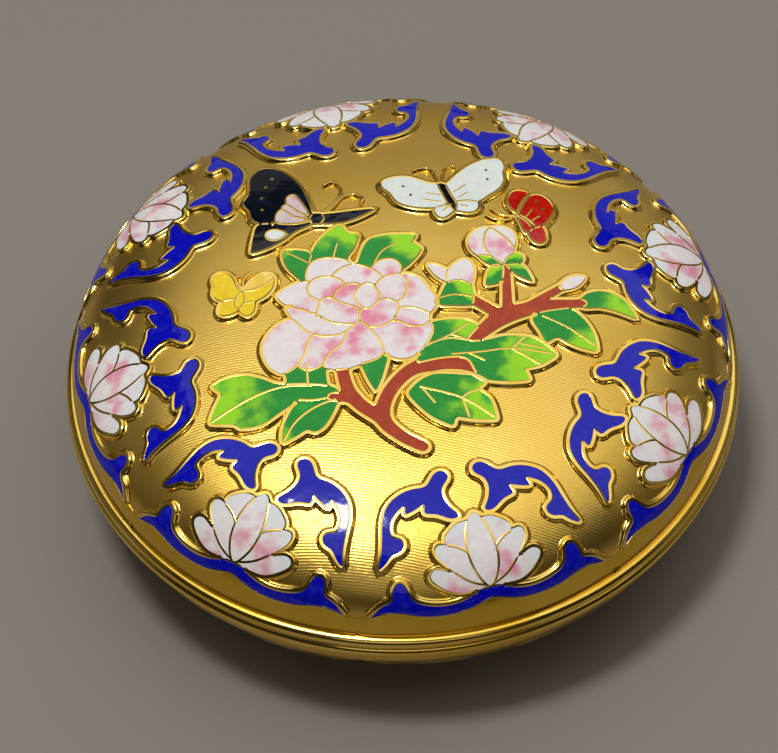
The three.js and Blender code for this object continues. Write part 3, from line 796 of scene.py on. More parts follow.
def bent_strip_tree():
    """Sweeps a flat-topped strip along every line, facing out of the wall. The line runs along the middle
    of its top. Either side may lean out at the foot."""
    tree, given, result = new_tree(
        "bent_strip",
        "GeometryNodeTree",
        {
            "Lines": "Geometry",
            "Left width": WIRE_HALF * MM,
            "Right width": WIRE_HALF * MM,
            "Depth": WIRE_DEEP * MM,
            "Left slope": 0.0,
            "Right slope": 0.0,
            "Rounding": 0.08 * MM,
            "Finish": "Material",
        },
        {"Strip": "Geometry"},
    )
    calc = maths(tree)
    curve = wired(tree, "GeometryNodeMeshToCurve", {"Mesh": given["Lines"]})
    out_of_wall = {"Curve": curve, "Normal": attribute_node(tree, "facing", "FLOAT_VECTOR")}
    facing = wired(tree, "GeometryNodeSetCurveNormal", out_of_wall, mode="FREE")
    depth = calc("MULTIPLY", given["Depth"], -1.0)
    left, right = calc("MULTIPLY", given["Left width"], -1.0), given["Right width"]
    left_foot = calc("SUBTRACT", left, given["Left slope"])
    right_foot = calc("ADD", right, given["Right slope"])
    corners = [(0.0, left), (0.0, right)]
    for step in range(1, SIDE_STEPS + 1):
        share = step / SIDE_STEPS
        fall = 0.86 * share * share * (3 - 2 * share)
        reach = share + 0.07 * math.sin(2 * math.pi * share)
        lean_out = calc("MULTIPLY", given["Right slope"], reach)
        corners.append((calc("MULTIPLY", depth, fall), calc("ADD", right, lean_out)))
    corners += [(depth, right_foot), (depth, left_foot)]
    index = tree.nodes.new("GeometryNodeInputIndex").outputs[0]
    place = wired(tree, "GeometryNodeIndexSwitch", {0: index}, data_type="VECTOR")
    while len(place.index_switch_items) < len(corners):
        place.index_switch_items.new()
    for number, (height, side) in enumerate(corners, 1):
        point = wired(tree, "ShaderNodeCombineXYZ", {"X": height, "Y": side})
        tree.links.new(point.outputs[0], place.inputs[number])
    row = wired(tree, "GeometryNodeMeshLine", {"Count": len(corners)})
    placed = wired(tree, "GeometryNodeSetPosition", {"Geometry": row, "Position": place})
    drawn = wired(tree, "GeometryNodeMeshToCurve", {"Mesh": placed})
    profile = wired(tree, "GeometryNodeSetSplineCyclic", {"Geometry": drawn, "Cyclic": True})
    rounding = calc("MULTIPLY", given["Rounding"], calc("LESS_THAN", index, 1.5))
    fillet = {"Curve": profile, "Radius": rounding, "Limit Radius": True, "Count": 2}
    rounded = wired(tree, "GeometryNodeFilletCurve", fillet, mode="POLY")
    mitre = attribute_node(tree, "mitre")
    sweep = {"Curve": facing, "Profile Curve": rounded, "Scale": mitre, "Fill Caps": True}
    swept = wired(tree, "GeometryNodeCurveToMesh", sweep)
    real = wired(tree, "GeometryNodeRealizeInstances", {"Geometry": swept})
    finish = wired(tree, "GeometryNodeSetMaterial", {"Geometry": real, "Material": given["Finish"]})
    tree.links.new(finish.outputs[0], result["Strip"])
    return tree


def around_rim_tree():
    """Repeats a border figure around the middle, and welds the copies where they meet."""
    tree, given, result = new_tree(
        "around_rim",
        "GeometryNodeTree",
        {
            "Figure": "Geometry",
            "Count": UNITS,
            "Weld": 0.002 * MM,
            "Finish": "Material",
        },
        {"Border": "Geometry"},
    )
    calc = maths(tree)
    places = wired(tree, "GeometryNodeMeshLine", {"Count": given["Count"], "Offset": (0, 0, 0)})
    index = tree.nodes.new("GeometryNodeInputIndex").outputs[0]
    turn = calc("DIVIDE", calc("MULTIPLY", index, 2 * math.pi), given["Count"])
    rotation = wired(tree, "ShaderNodeCombineXYZ", {"Z": turn})
    turned = {"Points": places, "Instance": given["Figure"], "Rotation": rotation}
    copies = wired(tree, "GeometryNodeInstanceOnPoints", turned)
    real = wired(tree, "GeometryNodeRealizeInstances", {"Geometry": copies})
    welded = wired(tree, "GeometryNodeMergeByDistance", {"Geometry": real, "Distance": given["Weld"]})
    finish = wired(tree, "GeometryNodeSetMaterial", {"Geometry": welded, "Material": given["Finish"]})
    tree.links.new(finish.outputs[0], result["Border"])
    return tree


def lathe_tree():
    """Turns a profile, whose points hold a radius and a height, around the middle. The profile's own
    lengths from the middle are kept as the point value "drawn", laid flat, for patterns to follow."""
    tree, given, result = new_tree(
        "lathe",
        "GeometryNodeTree",
        {
            "Profile": "Geometry",
            "Sides": LATHE_SIDES,
            "Weld": 0.0005 * MM,
            "Inside finish": "Material",
            "Finish": "Material",
        },
        {"Turned": "Geometry"},
    )
    calc = maths(tree)
    profile = given["Profile"]
    size = wired(tree, "GeometryNodeAttributeDomainSize", {"Geometry": profile}, component="MESH")
    rows = calc("ADD", given["Sides"], 1.0)
    counts = {"Vertices X": size.outputs["Point Count"], "Vertices Y": rows}
    grid = wired(tree, "GeometryNodeMeshGrid", counts).outputs["Mesh"]
    index = tree.nodes.new("GeometryNodeInputIndex").outputs[0]
    step = calc("FLOOR", calc("DIVIDE", calc("ADD", index, 0.5), rows))
    turn = calc("SUBTRACT", index, calc("MULTIPLY", step, rows))
    angle = calc("DIVIDE", calc("MULTIPLY", turn, 2 * math.pi), given["Sides"])
    across, along = calc("COSINE", angle), calc("SINE", angle)

    def sampled(value, data_type="FLOAT"):
        links = {"Geometry": profile, "Value": value, "Index": step}
        return wired(tree, "GeometryNodeSampleIndex", links, data_type=data_type, clamp=True)

    def stored(geometry, name, value, data_type):
        links = {"Geometry": geometry, "Name": name, "Value": value}
        kind = "GeometryNodeStoreNamedAttribute"
        return wired(tree, kind, links, data_type=data_type, domain="POINT")

    def turned(radius, height=0.0):
        links = {"X": calc("MULTIPLY", radius, across), "Y": calc("MULTIPLY", radius, along), "Z": height}
        return wired(tree, "ShaderNodeCombineXYZ", links)

    position = tree.nodes.new("GeometryNodeInputPosition")
    point = wired(tree, "ShaderNodeSeparateXYZ", {0: sampled(position, "FLOAT_VECTOR")}).outputs
    flat = turned(sampled(attribute_node(tree, "length")).outputs[0])
    named = stored(grid, "drawn", flat, "FLOAT_VECTOR")
    inner = stored(named, "inside", sampled(attribute_node(tree, "inside")), "FLOAT")
    placed = {"Geometry": inner, "Position": turned(point["X"], point["Z"])}
    shaped = wired(tree, "GeometryNodeSetPosition", placed)
    welded = wired(tree, "GeometryNodeMergeByDistance", {"Geometry": shaped, "Distance": given["Weld"]})
    real = wired(tree, "GeometryNodeRealizeInstances", {"Geometry": welded})
    outer = wired(tree, "GeometryNodeSetMaterial", {"Geometry": real, "Material": given["Finish"]})
    is_inner = calc("GREATER_THAN", attribute_node(tree, "inside").outputs[0], 0.5)
    lining = {"Geometry": outer, "Selection": is_inner, "Material": given["Inside finish"]}
    finish = wired(tree, "GeometryNodeSetMaterial", lining)
    tree.links.new(finish.outputs[0], result["Turned"])
    return tree


BENT_STRIP = bent_strip_tree()
AROUND_RIM = around_rim_tree()
LATHE = lathe_tree()


def pass_through(piece, tree, **values):
    """Adds a tree to a piece. Its inputs are set by their identifiers, before it is first worked out."""
    modifier = piece.modifiers.new(tree.name, "NODES")
    modifier.node_group = tree
    for socket in tree.interface.items_tree:
        key = socket.name.lower().replace(" ", "_")
        if socket.item_type == "SOCKET" and socket.in_out == "INPUT" and key in values:
            modifier[socket.identifier] = values[key]


def baked(piece):
    """Makes a piece's trees its plain mesh, smooth but for its sharp edges."""
    bpy.context.view_layer.update()
    graph = bpy.context.evaluated_depsgraph_get()
    mesh = bpy.data.meshes.new_from_object(piece.evaluated_get(graph))
    piece.modifiers.clear()
    piece.data = mesh
    mesh.name = piece.name
    mesh.shade_smooth()
    mesh.set_sharp_from_angle(angle=SHARP)
    return piece


def new_object(name, data):
    made = bpy.data.objects.new(name, data)
    bpy.context.scene.collection.objects.link(made)
    return made


def fitted(piece, slot, *nodes):
    """Puts a finished piece on the box."""
    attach(piece, "root")
    if nodes:
        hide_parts(*nodes)


# ------------------------------------------------------------------ shared effects
def group_node(tree, group, links):
    return wired(tree, "ShaderNodeGroup", links, node_tree=group)


def mixed(tree, factor, a, b):
    """Color a going over to color b."""
    mix = wired(tree, "ShaderNodeMix", {0: factor}, data_type="RGBA")
    tree.links.new(a, mix.inputs[6])
    tree.links.new(b, mix.inputs[7])
    return mix.outputs[2]


def gilt_tone_group():
    """Gilding that is a little richer and a little duller in soft patches."""
    tree, given, result = new_tree(
        "gilt_tone",
        "ShaderNodeTree",
        {
            "Place": "Vector",
            "Patch size": 0.012,
            "Bright": (0.95, 0.66, 0.22, 1),
            "Deep": (0.80, 0.50, 0.12, 1),
            "Smooth": 0.15,
            "Dull": 0.25,
        },
        {"Color": "Color", "Roughness": "Float"},
    )
    noise = noise_node(tree, given["Place"], math_node(tree, "DIVIDE", 1.0, given["Patch size"]), 3.0)
    spread = {"Value": noise, "From Min": 0.35, "From Max": 0.65}
    patch = wired(tree, "ShaderNodeMapRange", spread).outputs["Result"]
    tree.links.new(mixed(tree, patch, given["Bright"], given["Deep"]), result["Color"])
    span = {"Value": patch, "To Min": given["Smooth"], "To Max": given["Dull"]}
    rough = wired(tree, "ShaderNodeMapRange", span)
    tree.links.new(rough.outputs["Result"], result["Roughness"])
    return tree


def brushing_group():
    """Fine scratches along one direction, as a height from 0 to 1."""
    tree, given, result = new_tree(
        "brushing",
        "ShaderNodeTree",
        {"Place": "Vector", "Width": 0.0002, "Length": 0.02},
        {"Height": "Float"},
    )
    parts = wired(tree, "ShaderNodeSeparateXYZ", {0: given["Place"]}).outputs
    sizes = {"X": given["Length"], "Y": given["Width"], "Z": given["Width"]}
    shares = {axis: math_node(tree, "DIVIDE", parts[axis], size) for axis, size in sizes.items()}
    stretched = wired(tree, "ShaderNodeCombineXYZ", shares).outputs[0]
    tree.links.new(noise_node(tree, stretched, 1.0, 2.0), result["Height"])
    return tree


def enamel_group():
    """Fired enamel: a base tone with soft clouds of another, a third tone towards the cell's tip, and a
    slightly wavy surface."""
    tree, given, result = new_tree(
        "fired_enamel",
        "ShaderNodeTree",
        {
            "Place": "Vector",
            "Base": (0.8, 0.8, 0.8, 1),
            "Cloud": (0.8, 0.2, 0.3, 1),
            "Tip": (0.8, 0.8, 0.9, 1),
            "Cloud size": 0.003,
            "Cloud low": 0.5,
            "Cloud high": 0.7,
            "Cloud heart": 0.4,
            "Cloud spread": 0.0,
            "Tip start": 0.6,
            "Tip end": 1.0,
        },
        {"Color": "Color", "Roughness": "Float", "Height": "Float"},
    )
    calc = maths(tree)

    def noise(size, detail):
        return noise_node(tree, given["Place"], calc("DIVIDE", 1.0, size), detail)

    def between(value, low, high):
        return smooth_range(tree, value, low, high).outputs["Result"]

    along = wired(tree, "ShaderNodeAttribute", attribute_name="along").outputs["Fac"]
    soft = noise(given["Cloud size"], 2.5)
    wander = calc("MULTIPLY", calc("SUBTRACT", soft, 0.5), 0.9)
    tip = between(calc("ADD", along, wander), given["Tip start"], given["Tip end"])
    off_heart = calc("ABSOLUTE", calc("SUBTRACT", along, given["Cloud heart"]))
    gathered = calc("SUBTRACT", soft, calc("MULTIPLY", off_heart, given["Cloud spread"]))
    cloud = between(gathered, given["Cloud low"], given["Cloud high"])
    mottled = between(noise(0.0011, 4.0), 0.42, 0.75)
    pale = {"Value": 1.22, "Saturation": 0.93, "Color": given["Base"]}
    paler = wired(tree, "ShaderNodeHueSaturation", pale).outputs[0]
    base = mixed(tree, calc("MULTIPLY", mottled, 0.4), given["Base"], paler)
    toned = mixed(tree, tip, base, given["Tip"])
    tree.links.new(mixed(tree, cloud, toned, given["Cloud"]), result["Color"])
    rough = wired(tree, "ShaderNodeMapRange", {"Value": noise(0.002, 2.0), "To Min": 0.04, "To Max": 0.11})
    tree.links.new(rough.outputs["Result"], result["Roughness"])
    tree.links.new(noise(0.0035, 2.0), result["Height"])
    return tree


GILT_TONE = gilt_tone_group()
BRUSHING = brushing_group()
ENAMEL = enamel_group()


# ------------------------------------------------------------------ finishes
def new_material(name):
    material = bpy.data.materials.new(name)
    material.use_nodes = True
    tree = material.node_tree
    return material, tree, tree.nodes["Principled BSDF"]


def object_place(tree):
    return tree.nodes.new("ShaderNodeTexCoord").outputs["Object"]


def add_bump(tree, shader, height, distance):
    bump = wired(tree, "ShaderNodeBump", {"Height": height, "Distance": distance, "Strength": 1.0})
    tree.links.new(bump.outputs[0], shader.inputs["Normal"])


def gilded(name, bright, deep, smooth, dull, patch):
    """A gilt material with soft patches, its parts, and the place that its effects read."""
    material, tree, shader = new_material(name)
    place = object_place(tree)
    sizes = {"Patch size": patch, "Smooth": smooth, "Dull": dull}
    tones = {"Place": place, "Bright": (*bright, 1), "Deep": (*deep, 1), **sizes}
    tone = group_node(tree, GILT_TONE, tones)
    tree.links.new(tone.outputs["Color"], shader.inputs["Base Color"])
    tree.links.new(tone.outputs["Roughness"], shader.inputs["Roughness"])
    shader.inputs["Metallic"].default_value = 1.0
    return material, tree, shader, place


def gilt(name, bright, deep, smooth, dull, patch, grain=0.0):
    """Plain gilding, brushed if it has a grain."""
    material, tree, shader, place = gilded(name, bright, deep, smooth, dull, patch)
    if grain:
        brushed = group_node(tree, BRUSHING, {"Place": place, "Width": 0.0003, "Length": 0.02})
        add_bump(tree, shader, brushed, grain)
    return material


def engraved_gilt():
    """The lid's ground: fine lines cut in slanting rows, shallow at the back, and faint brushing."""
    tones = (0.88, 0.61, 0.14), (0.80, 0.52, 0.09)
    material, tree, shader, place = gilded("engraved_gilt", *tones, 0.32, 0.38, 0.02)
    calc = maths(tree)
    flat = wired(tree, "ShaderNodeAttribute", attribute_name="drawn").outputs["Vector"]
    parts = wired(tree, "ShaderNodeSeparateXYZ", {0: flat}).outputs
    from_bend = calc("ADD", parts["X"], ROW_BEND)
    squared = calc("ADD", calc("MULTIPLY", from_bend, from_bend), ROW_SOFTNESS**2)
    row = calc("ADD", parts["Y"], calc("MULTIPLY", calc("SQRT", squared), ROW_SLANT))
    wave = calc("SINE", calc("MULTIPLY", row, 2 * math.pi / ROW_PITCH))
    uneven = noise_node(tree, flat, 1.1, 2.0)
    front = smooth_range(tree, parts["Y"], *ROWS_DEEPEN, 0.06, 1.0).outputs["Result"]
    arc = wired(tree, "ShaderNodeVectorMath", {0: flat}, operation="LENGTH").outputs["Value"]
    fading = {"Value": arc, "From Min": ROWS_FADE[0], "From Max": ROWS_FADE[1], "To Min": 1.0, "To Max": 0.0}
    inward = wired(tree, "ShaderNodeMapRange", fading).outputs["Result"]
    cut = calc("MULTIPLY", calc("MULTIPLY", calc("MULTIPLY", wave, uneven), front), inward)
    brushed = group_node(tree, BRUSHING, {"Place": place, "Width": 0.00022, "Length": 0.012})
    add_bump(tree, shader, calc("ADD", cut, brushed.outputs[0]), ROW_DEPTH * MM)
    return material


def enamel(name, base, cloud, tip, cloud_size=0.003, clouds=(0.5, 0.7), tips=(0.6, 1.0), heart=(0.4, 0.0)):
    """Glossy fired enamel, faintly wavy."""
    material, tree, shader = new_material(name)
    given = {
        "Place": object_place(tree),
        "Base": (*base, 1),
        "Cloud": (*cloud, 1),
        "Tip": (*tip, 1),
        "Cloud size": cloud_size,
        "Cloud low": clouds[0],
        "Cloud high": clouds[1],
        "Cloud heart": heart[0],
        "Cloud spread": heart[1],
        "Tip start": tips[0],
        "Tip end": tips[1],
    }
    fired = group_node(tree, ENAMEL, given)
    tree.links.new(fired.outputs["Color"], shader.inputs["Base Color"])
    tree.links.new(fired.outputs["Roughness"], shader.inputs["Roughness"])
    shader.inputs["Specular IOR Level"].default_value = 0.36
    add_bump(tree, shader, fired.outputs["Height"], ENAMEL_WAVE * MM)
    return material


GROUND = engraved_gilt()
POLISHED = gilt("polished_gilt", (1.0, 0.74, 0.20), (0.94, 0.62, 0.10), 0.12, 0.22, 0.004)
BAND = gilt("band_gilt", (0.92, 0.62, 0.08), (0.82, 0.52, 0.045), 0.16, 0.26, 0.02)
TURNED = gilt("turned_gilt", (1.0, 0.72, 0.16), (0.86, 0.56, 0.07), 0.14, 0.22, 0.01)
PLAIN = gilt("plain_gilt", (0.92, 0.63, 0.13), (0.80, 0.51, 0.07), 0.28, 0.4, 0.02, 0.00002)

COBALT = (0.003, 0.005, 0.52)
FILLS = {
    "cobalt": enamel("cobalt_enamel", COBALT, (0.012, 0.014, 0.7), COBALT, 0.004, (0.55, 0.85)),
    "lotus": enamel(
        "lotus_enamel",
        (0.95, 0.90, 0.90),
        (0.90, 0.38, 0.50),
        (0.86, 0.92, 0.95),
        0.004,
        (0.42, 0.66),
        heart=(0.42, 0.28),
    ),
    "peony": enamel(
        "peony_enamel",
        (0.93, 0.86, 0.88),
        (0.92, 0.30, 0.44),
        (0.93, 0.92, 0.92),
        0.0042,
        (0.40, 0.66),
        heart=(0.3, 0.22),
    ),
    "leaf": enamel(
        "leaf_enamel",
        (0.007, 0.32, 0.03),
        (0.02, 0.48, 0.05),
        (0.36, 0.84, 0.008),
        0.004,
        (0.55, 0.8),
        (0.5, 0.78),
    ),
    "branch": enamel("branch_enamel", (0.45, 0.046, 0.006), (0.54, 0.07, 0.01), (0.45, 0.046, 0.006)),
    "black": enamel("black_enamel", (0.004, 0.006, 0.012), (0.008, 0.014, 0.04), (0.004, 0.006, 0.012)),
    "white": enamel("white_enamel", (0.86, 0.94, 0.91), (0.76, 0.88, 0.88), (0.88, 0.95, 0.92)),
    "blush": enamel("blush_enamel", (0.76, 0.64, 0.66), (0.80, 0.44, 0.5), (0.80, 0.74, 0.76)),
    "red": enamel("red_enamel", (0.55, 0.01, 0.001), (0.46, 0.008, 0.003), (0.6, 0.014, 0.001)),
    "yellow": enamel("yellow_enamel", (1.0, 0.72, 0.002), (0.95, 0.62, 0.002), (1.0, 0.76, 0.004)),
    "grey": enamel("grey_enamel", (0.1, 0.12, 0.12), (0.2, 0.2, 0.2), (0.1, 0.12, 0.12)),
    "band": BAND,
    "gold": POLISHED,
}
SLOTS = {fill: f"enamel_{fill}" for fill in ("cobalt", "black", "white", "red", "yellow")}
SLOTS |= {fill: "enamel_pink" for fill in ("lotus", "peony", "blush")}
SLOTS |= {fill: "gilt_brass" for fill in ("band", "gold")}
SLOTS |= {"leaf": "enamel_green", "branch": "enamel_brown", "grey": "enamel_black"}


# ------------------------------------------------------------------ enamel cells as thin slabs
def from_gap(flat):
    """Distance of points from the middle of the nearest opening in the border."""
    ends = unit_turn([seam_point(BAND_TIP, side) for side in (-1, 1)])
    return np.linalg.norm(np.asarray(flat)[:, None] - ends, axis=2).min(1)


def band_height(flat):
    """The band's height over the figures: level, but running down to the ground at the openings."""
    share = np.clip(from_gap(flat) / BAND_GAP - 0.7, 0, 1)
    return (RELIEF - BAND_STAND) * (share * share * (3 - 2 * share) - 1)


def slab_mesh(name, cut, fill, wall, top, bottom):
    """All the cells of one fill as closed slabs, with how far along its cell each point lies."""
    numbers = [n for n, cell in enumerate(cut.cells) if cell.fill == fill]
    points, along, faces = [], [], []
    for number in numbers:
        own = cut.triangles[cut.labels == number]
        if len(own) == 0:
            continue
        used, own = np.unique(own, return_inverse=True)
        own = own.reshape(-1, 3)
        if wall.way < 0:
            own = own[:, ::-1]
        flat = cut.points[used]
        first, count = len(points), len(used)
        cell = cut.cells[number]
        axis = cell.tip - cell.root
        share = (flat - cell.root) @ axis / max(axis @ axis, 1e-9)
        level = band_height(flat) if fill == "band" and wall.way > 0 else top
        points.extend(wall.place(flat, level))
        points.extend(wall.place(flat, bottom))
        along.extend([*share, *share])
        faces.extend((own + first).tolist())
        faces.extend((own[:, ::-1] + first + count).tolist())
        sides = {(a, b) for t in own.tolist() for a, b in ((t[0], t[1]), (t[1], t[2]), (t[2], t[0]))}
        for a, b in sides:
            if (b, a) not in sides:
                faces.append((first + b, first + a, first + count + a, first + count + b))
    mesh = bpy.data.meshes.new(name)
    mesh.from_pydata(np.array(points).tolist(), [], faces)
    value = mesh.attributes.new("along", "FLOAT", "POINT")
    value.data.foreach_set("value", np.clip(along, 0, 1))
    mesh.materials.append(FILLS[fill])
    return mesh


def true_normals(piece, wall):
    """Gives the faces that lie along the wall its exact directions, so that reflections run smoothly."""
    mesh = piece.data
    count = len(mesh.loops)
    corners = np.zeros(count, np.int32)
    mesh.loops.foreach_get("vertex_index", corners)
    places = np.zeros(len(mesh.vertices) * 3)
    mesh.vertices.foreach_get("co", places)
    outward = wall.outward_at(places.reshape(-1, 3))
    normals = np.zeros((count, 3))
    for face in mesh.polygons:
        loops = slice(face.loop_start, face.loop_start + face.loop_total)
        own = outward[corners[loops]]
        if np.dot(np.array(face.normal), own.mean(0)) > 0.8:
            normals[loops] = own
    mesh.normals_split_custom_set(normals.tolist())


def add_cells(prefix, cut, wall, around):
    """The enamel and gold slabs of a drawing, one piece for each fill."""
    fills = []
    for cell in cut.cells:
        if cell.fill not in fills and cell.fill != "gap":
            fills.append(cell.fill)
    for fill in fills:
        sink = 0.0 if fill == "band" else -ENAMEL_SINK
        mesh = slab_mesh(f"{prefix}_{fill}", cut, fill, wall, sink, -RELIEF - ROOTED)
        piece = new_object(f"{prefix}_{fill}", mesh)
        if around:
            pass_through(piece, AROUND_RIM, finish=FILLS[fill])
        baked(piece)
        true_normals(piece, wall)
        fitted(piece, SLOTS[fill])


EDGE_PROFILE = {
    "left_width": EDGE_OVERLAP,
    "right_width": EDGE_WIDTH - EDGE_OVERLAP,
    "depth": RELIEF + ROOTED,
    "right_slope": EDGE_SLOPE,
    "rounding": 0.06,
}
FEELER_PROFILE = {
    "left_width": FEELER_HALF,
    "right_width": FEELER_HALF,
    "depth": RELIEF + ROOTED,
    "left_slope": FEELER_SLOPE,
    "right_slope": FEELER_SLOPE,
}


def add_strips(name, lines, wall, around, **sizes):
    """Gilt strips along lines, as one piece."""
    piece = new_object(name, lines.mesh(name, wall))
    metres = {key: value * MM for key, value in sizes.items()}
    pass_through(piece, BENT_STRIP, finish=POLISHED, **metres)
    if around:
        pass_through(piece, AROUND_RIM, finish=POLISHED)
    fitted(baked(piece), "gilt_brass")


def add_dots(name, centres, fill, radius):
    """Small round spots set flush in the enamel."""
    cut = Cut([Cell(fill, disc(centre, radius)) for centre in centres])
    piece = new_object(name, slab_mesh(name, cut, fill, LID, DOT_STAND, -WIRE_DEEP))
    baked(piece)
    true_normals(piece, LID)
    fitted(piece, SLOTS[fill])


def has_no_edge(points, wall):
    """Whether a short line lies on the sides of a border unit, on the wall's edge or in an opening."""
    angle = math.radians(UNIT_START)
    x = points[:, 0] * math.cos(angle) + points[:, 1] * math.sin(angle)
    y = points[:, 0] * math.sin(angle) - points[:, 1] * math.cos(angle)
    direction = np.degrees(np.arctan2(x, y))
    on_side = np.abs(np.abs(direction) - UNIT_HALF) < 0.02
    on_rim = np.hypot(x, y) > EDGE_ARC + 0.3
    in_gap = (from_gap(points) < BAND_GAP) & (wall.way > 0)
    return bool(on_side.all() or on_rim.all() or in_gap.all())


def add_border(prefix, wall, plain):
    cut = Cut(border_cells(EDGE_ARC + wall.straight, plain))
    add_cells(prefix, cut, wall, True)
    edges, wires = drawn_lines(cut, lambda points: has_no_edge(points, wall))
    add_strips(f"{prefix}_wires", wires, wall, True, depth=RELIEF)
    add_strips(f"{prefix}_edges", edges, wall, True, **EDGE_PROFILE)


def add_spray():
    for prefix, cells, veins, share in (
        ("spray", spray_cells(), LEAF_VEINS, 1.0),
        ("butterflies", butterfly_cells(), WING_VEINS, VEIN_SHARE),
    ):
        cut = Cut(cells)
        add_cells(prefix, cut, LID, False)
        edges, wires = drawn_lines(cut)
        for vein in veins:
            wires.add(open_line(vein, LINE_STEP), width=share)
        add_strips(f"{prefix}_wires", wires, LID, False)
        add_strips(f"{prefix}_edges", edges, LID, False, **EDGE_PROFILE)
    add_dots("gold_spots", GOLD_DOTS, "gold", GOLD_DOT)
    add_dots("grey_spots", GREY_DOTS, "grey", GREY_DOT)
    feelers = Lines()
    for feeler in FEELERS:
        feelers.add(open_line(feeler, LINE_STEP), width=FEELER_SHARE)
    add_strips("feelers", feelers, LID, False, **FEELER_PROFILE)


# ------------------------------------------------------------------ turned pieces
def profile_mesh(name, points, lengths=None, inside=None):
    """A profile of radius and height in millimetres, for the lathe."""
    points = np.asarray(points, float)
    mesh = bpy.data.meshes.new(name)
    places = [(r * MM, 0, z * MM) for r, z in points]
    mesh.from_pydata(places, [(i, i + 1) for i in range(len(points) - 1)], [])
    steps = np.linalg.norm(np.diff(points, axis=0), axis=1)
    values = {
        "length": np.append(0, np.cumsum(steps)) if lengths is None else lengths,
        "inside": np.zeros(len(points)) if inside is None else inside,
    }
    for key, value in values.items():
        attribute = mesh.attributes.new(key, "FLOAT", "POINT")
        attribute.data.foreach_set("value", np.asarray(value, float))
    return mesh


def add_turned(name, profile, node, finish, inside_finish=None):
    piece = new_object(name, profile)
    pass_through(piece, LATHE, finish=finish, inside_finish=inside_finish or finish)
    fitted(baked(piece), "gilt_brass", node)


def wall_points(wall, depth, radii):
    """Radius and height of points on a wall at some depth under its figures."""
    tilt = lean(radii)
    out = radii - depth * np.sin(tilt)
    up = rise(radii) - depth * np.cos(tilt)
    points = np.column_stack([out, wall.edge + wall.way * up])
    points[0, 0] = 0
    return np.vstack([points, [DOME_RADIUS - depth, wall.edge - wall.way * wall.straight]])


def add_wall(name, node, wall, finish):
    """A hollow wall: its ground outside, and plain inside."""
    radii = DOME_RADIUS * np.sin(np.linspace(0, math.pi / 2, WALL_ROWS + 1))
    outer = wall_points(wall, RELIEF, radii)
    inner = wall_points(wall, WALL, radii)
    lengths = np.append(np.interp(radii, ARC_RADII, ARC_LENGTHS), EDGE_ARC + wall.straight)
    points = np.vstack([outer, inner[::-1]])
    inside = np.repeat([0.0, 1.0], len(outer))
    lengths = np.append(lengths, lengths[::-1])
    if wall.way > 0:
        points, lengths, inside = points[::-1], lengths[::-1], inside[::-1]
    profile = profile_mesh(name, points, lengths, inside)
    add_turned(name, profile, node, finish, PLAIN)


def bead(centre, middle):
    """A half-round moulding's profile, from its lowest point to its highest."""
    turns = np.radians(np.linspace(-90, 90, BEAD_STEPS + 1))
    return [(centre + BEAD_RADIUS * math.cos(t), middle + BEAD_RADIUS * math.sin(t)) for t in turns]


def add_rims():
    """The turned rings around the edges of the lid and the bowl."""
    seam = LID_RIM_LOW[2]
    inner = DOME_RADIUS - WALL
    lid_bead = LID_RIM_HIGH[0] - BEAD_RADIUS
    base_bead = BASE_RIM_HIGH[0] - BEAD_RADIUS
    lid_rim = [
        (inner, seam),
        *bead(lid_bead, seam + BEAD_RADIUS),
        (DOME_RADIUS, seam + 2 * BEAD_RADIUS),
        (DOME_RADIUS, LID_LOW[2]),
        (inner, LID_LOW[2]),
        (inner, seam),
    ]
    add_turned("lid_rim_ring", profile_mesh("lid_rim", lid_rim), "lid_rim", TURNED)
    collar = COLLAR_HIGH[0]
    base_rim = [
        (collar, seam),
        (collar, BASE_HIGH[2]),
        (DOME_RADIUS, BASE_HIGH[2]),
        (DOME_RADIUS, seam - 2 * BEAD_RADIUS),
        *bead(base_bead, seam - BEAD_RADIUS),
        (collar, seam),
    ]
    add_turned("base_rim_ring", profile_mesh("base_rim", base_rim), "base_rim", TURNED)


def add_collar():
    outer, inner = COLLAR_HIGH[0], COLLAR_HIGH[0] - COLLAR_WALL
    low, high = COLLAR_LOW[2], COLLAR_HIGH[2]
    profile = [
        (inner, low),
        (outer, low),
        (outer, high - COLLAR_EASE),
        (outer - COLLAR_EASE, high),
        (inner + COLLAR_EASE, high),
        (inner, high - COLLAR_EASE),
        (inner, low),
    ]
    add_turned("collar_ring", profile_mesh("collar", profile), "inner_collar", PLAIN)


def add_foot():
    outer = FOOT_HIGH[0]
    inner = outer - FOOT_WIDTH
    radii = np.array([outer, inner])
    top = BOWL.edge - rise(radii) + RELIEF
    low_inner, low_outer = inner + FOOT_TAPER, outer - FOOT_TAPER
    profile = [
        (low_inner + FOOT_EASE, 0),
        (low_outer - FOOT_EASE, 0),
        (low_outer, FOOT_EASE),
        (outer, top[0]),
        (inner, top[1]),
        (low_inner, FOOT_EASE),
        (low_inner + FOOT_EASE, 0),
    ]
    add_turned("foot_ring_turned", profile_mesh("foot", profile), "foot_ring", TURNED)


# ------------------------------------------------------------------ the box
add_wall("lid_wall", "lid", LID, GROUND)
add_wall("bowl_wall", "base", BOWL, PLAIN)
add_rims()
add_collar()
add_foot()
add_border("lid_border", LID, False)
add_border("bowl_border", BOWL, True)
add_spray()


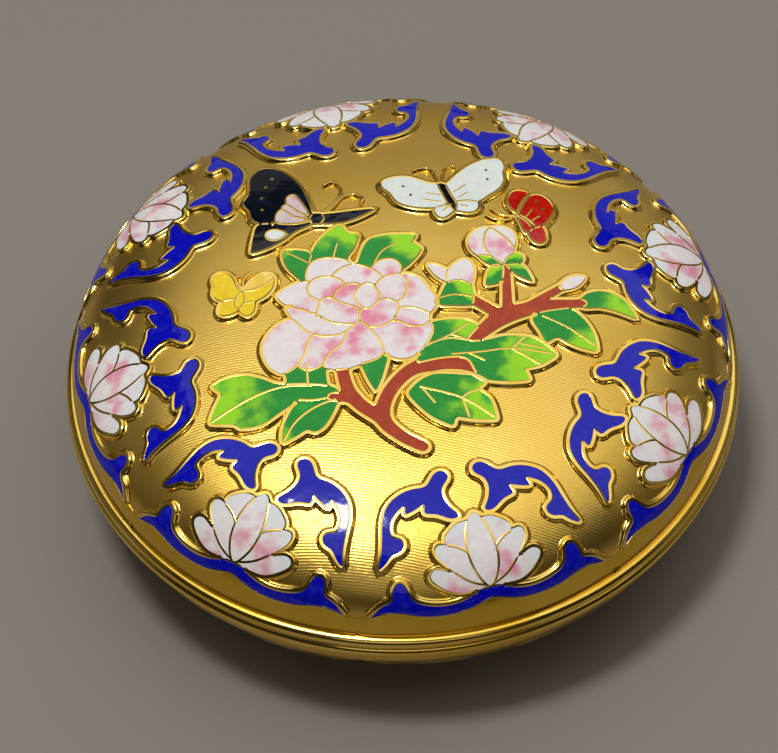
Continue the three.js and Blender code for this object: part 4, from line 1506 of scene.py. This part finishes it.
# ------------------------------------------------------------------ floor, light and camera
FLOOR_REACH = 4.0
MIDDLE = (0, 0, 0.03)
WARM, WARMER = (1.0, 0.95, 0.88), (1.0, 0.93, 0.84)
LIGHTS = {  # place, what it faces, size, power and color
    "key": ((-0.19, -0.03, 1.08), MIDDLE, (0.18, 0.22), 4.6, (1.0, 0.98, 0.95)),
    "ceiling": ((0.2, 0.5, 1.35), (0.2, 0.5, 0), (1.9, 2.0), 11.0, (1.0, 0.97, 0.93)),
    "back_wall": ((0.2, 1.5, 0.5), MIDDLE, (1.8, 0.9), 1.7, WARM),
    "left_wall": ((-1.3, 0.3, 0.6), MIDDLE, (1.4, 0.7), 0.35, WARMER),
    "right_wall": ((1.3, 0.3, 0.6), MIDDLE, (1.4, 0.7), 0.5, WARMER),
    "front_wall": ((0.0, -1.1, 1.05), MIDDLE, (0.9, 0.5), 0.8, WARM),
}
CAMERA_PLACE = (-0.0023, -0.2905, 0.3938)
CAMERA_ACROSS = (0.99907, -0.03420, -0.02643)  # direction of its right-hand side
CAMERA_BACK = (0, -0.61140, 0.79132)  # direction from what it sees back to it


def add_floor():
    mesh = bpy.data.meshes.new("floor")
    corners = [(x * FLOOR_REACH, y * FLOOR_REACH, 0) for x, y in ((-1, -1), (1, -1), (1, 1), (-1, 1))]
    mesh.from_pydata(corners, [], [(0, 1, 2, 3)])
    floor = new_object("floor", mesh)
    material, _, shader = new_material("plain_floor")
    shader.inputs["Base Color"].default_value = (0.275, 0.249, 0.218, 1)
    shader.inputs["Roughness"].default_value = 0.7
    mesh.materials.append(material)


def add_light(name, place, target, size, power, color):
    light = bpy.data.lights.new(name, "AREA")
    light.shape = "RECTANGLE"
    light.size, light.size_y = size
    light.energy = power
    light.color = color
    lamp = new_object(name, light)
    lamp.location = place
    lamp.rotation_euler = (Vector(target) - Vector(place)).to_track_quat("-Z", "Y").to_euler()


def add_world():
    world = bpy.data.worlds.new("room")
    world.use_nodes = True
    back = world.node_tree.nodes["Background"]
    back.inputs["Color"].default_value = (0.02, 0.017, 0.014, 1)
    back.inputs["Strength"].default_value = 1.0
    bpy.context.scene.world = world


def add_camera():
    camera = bpy.data.cameras.new("camera")
    camera.lens = 128.2
    camera.sensor_width = 36.0
    camera.clip_start = 0.01
    across, back = Vector(CAMERA_ACROSS).normalized(), Vector(CAMERA_BACK).normalized()
    up = back.cross(across).normalized()
    across = up.cross(back)
    holder = new_object("camera", camera)
    turn = Matrix((across, up, back)).transposed().to_4x4()
    holder.matrix_world = Matrix.Translation(CAMERA_PLACE) @ turn
    bpy.context.scene.camera = holder


add_floor()
for name, light in LIGHTS.items():
    add_light(name, *light)
add_world()
add_camera()
bpy.context.scene.view_settings.view_transform = "Standard"
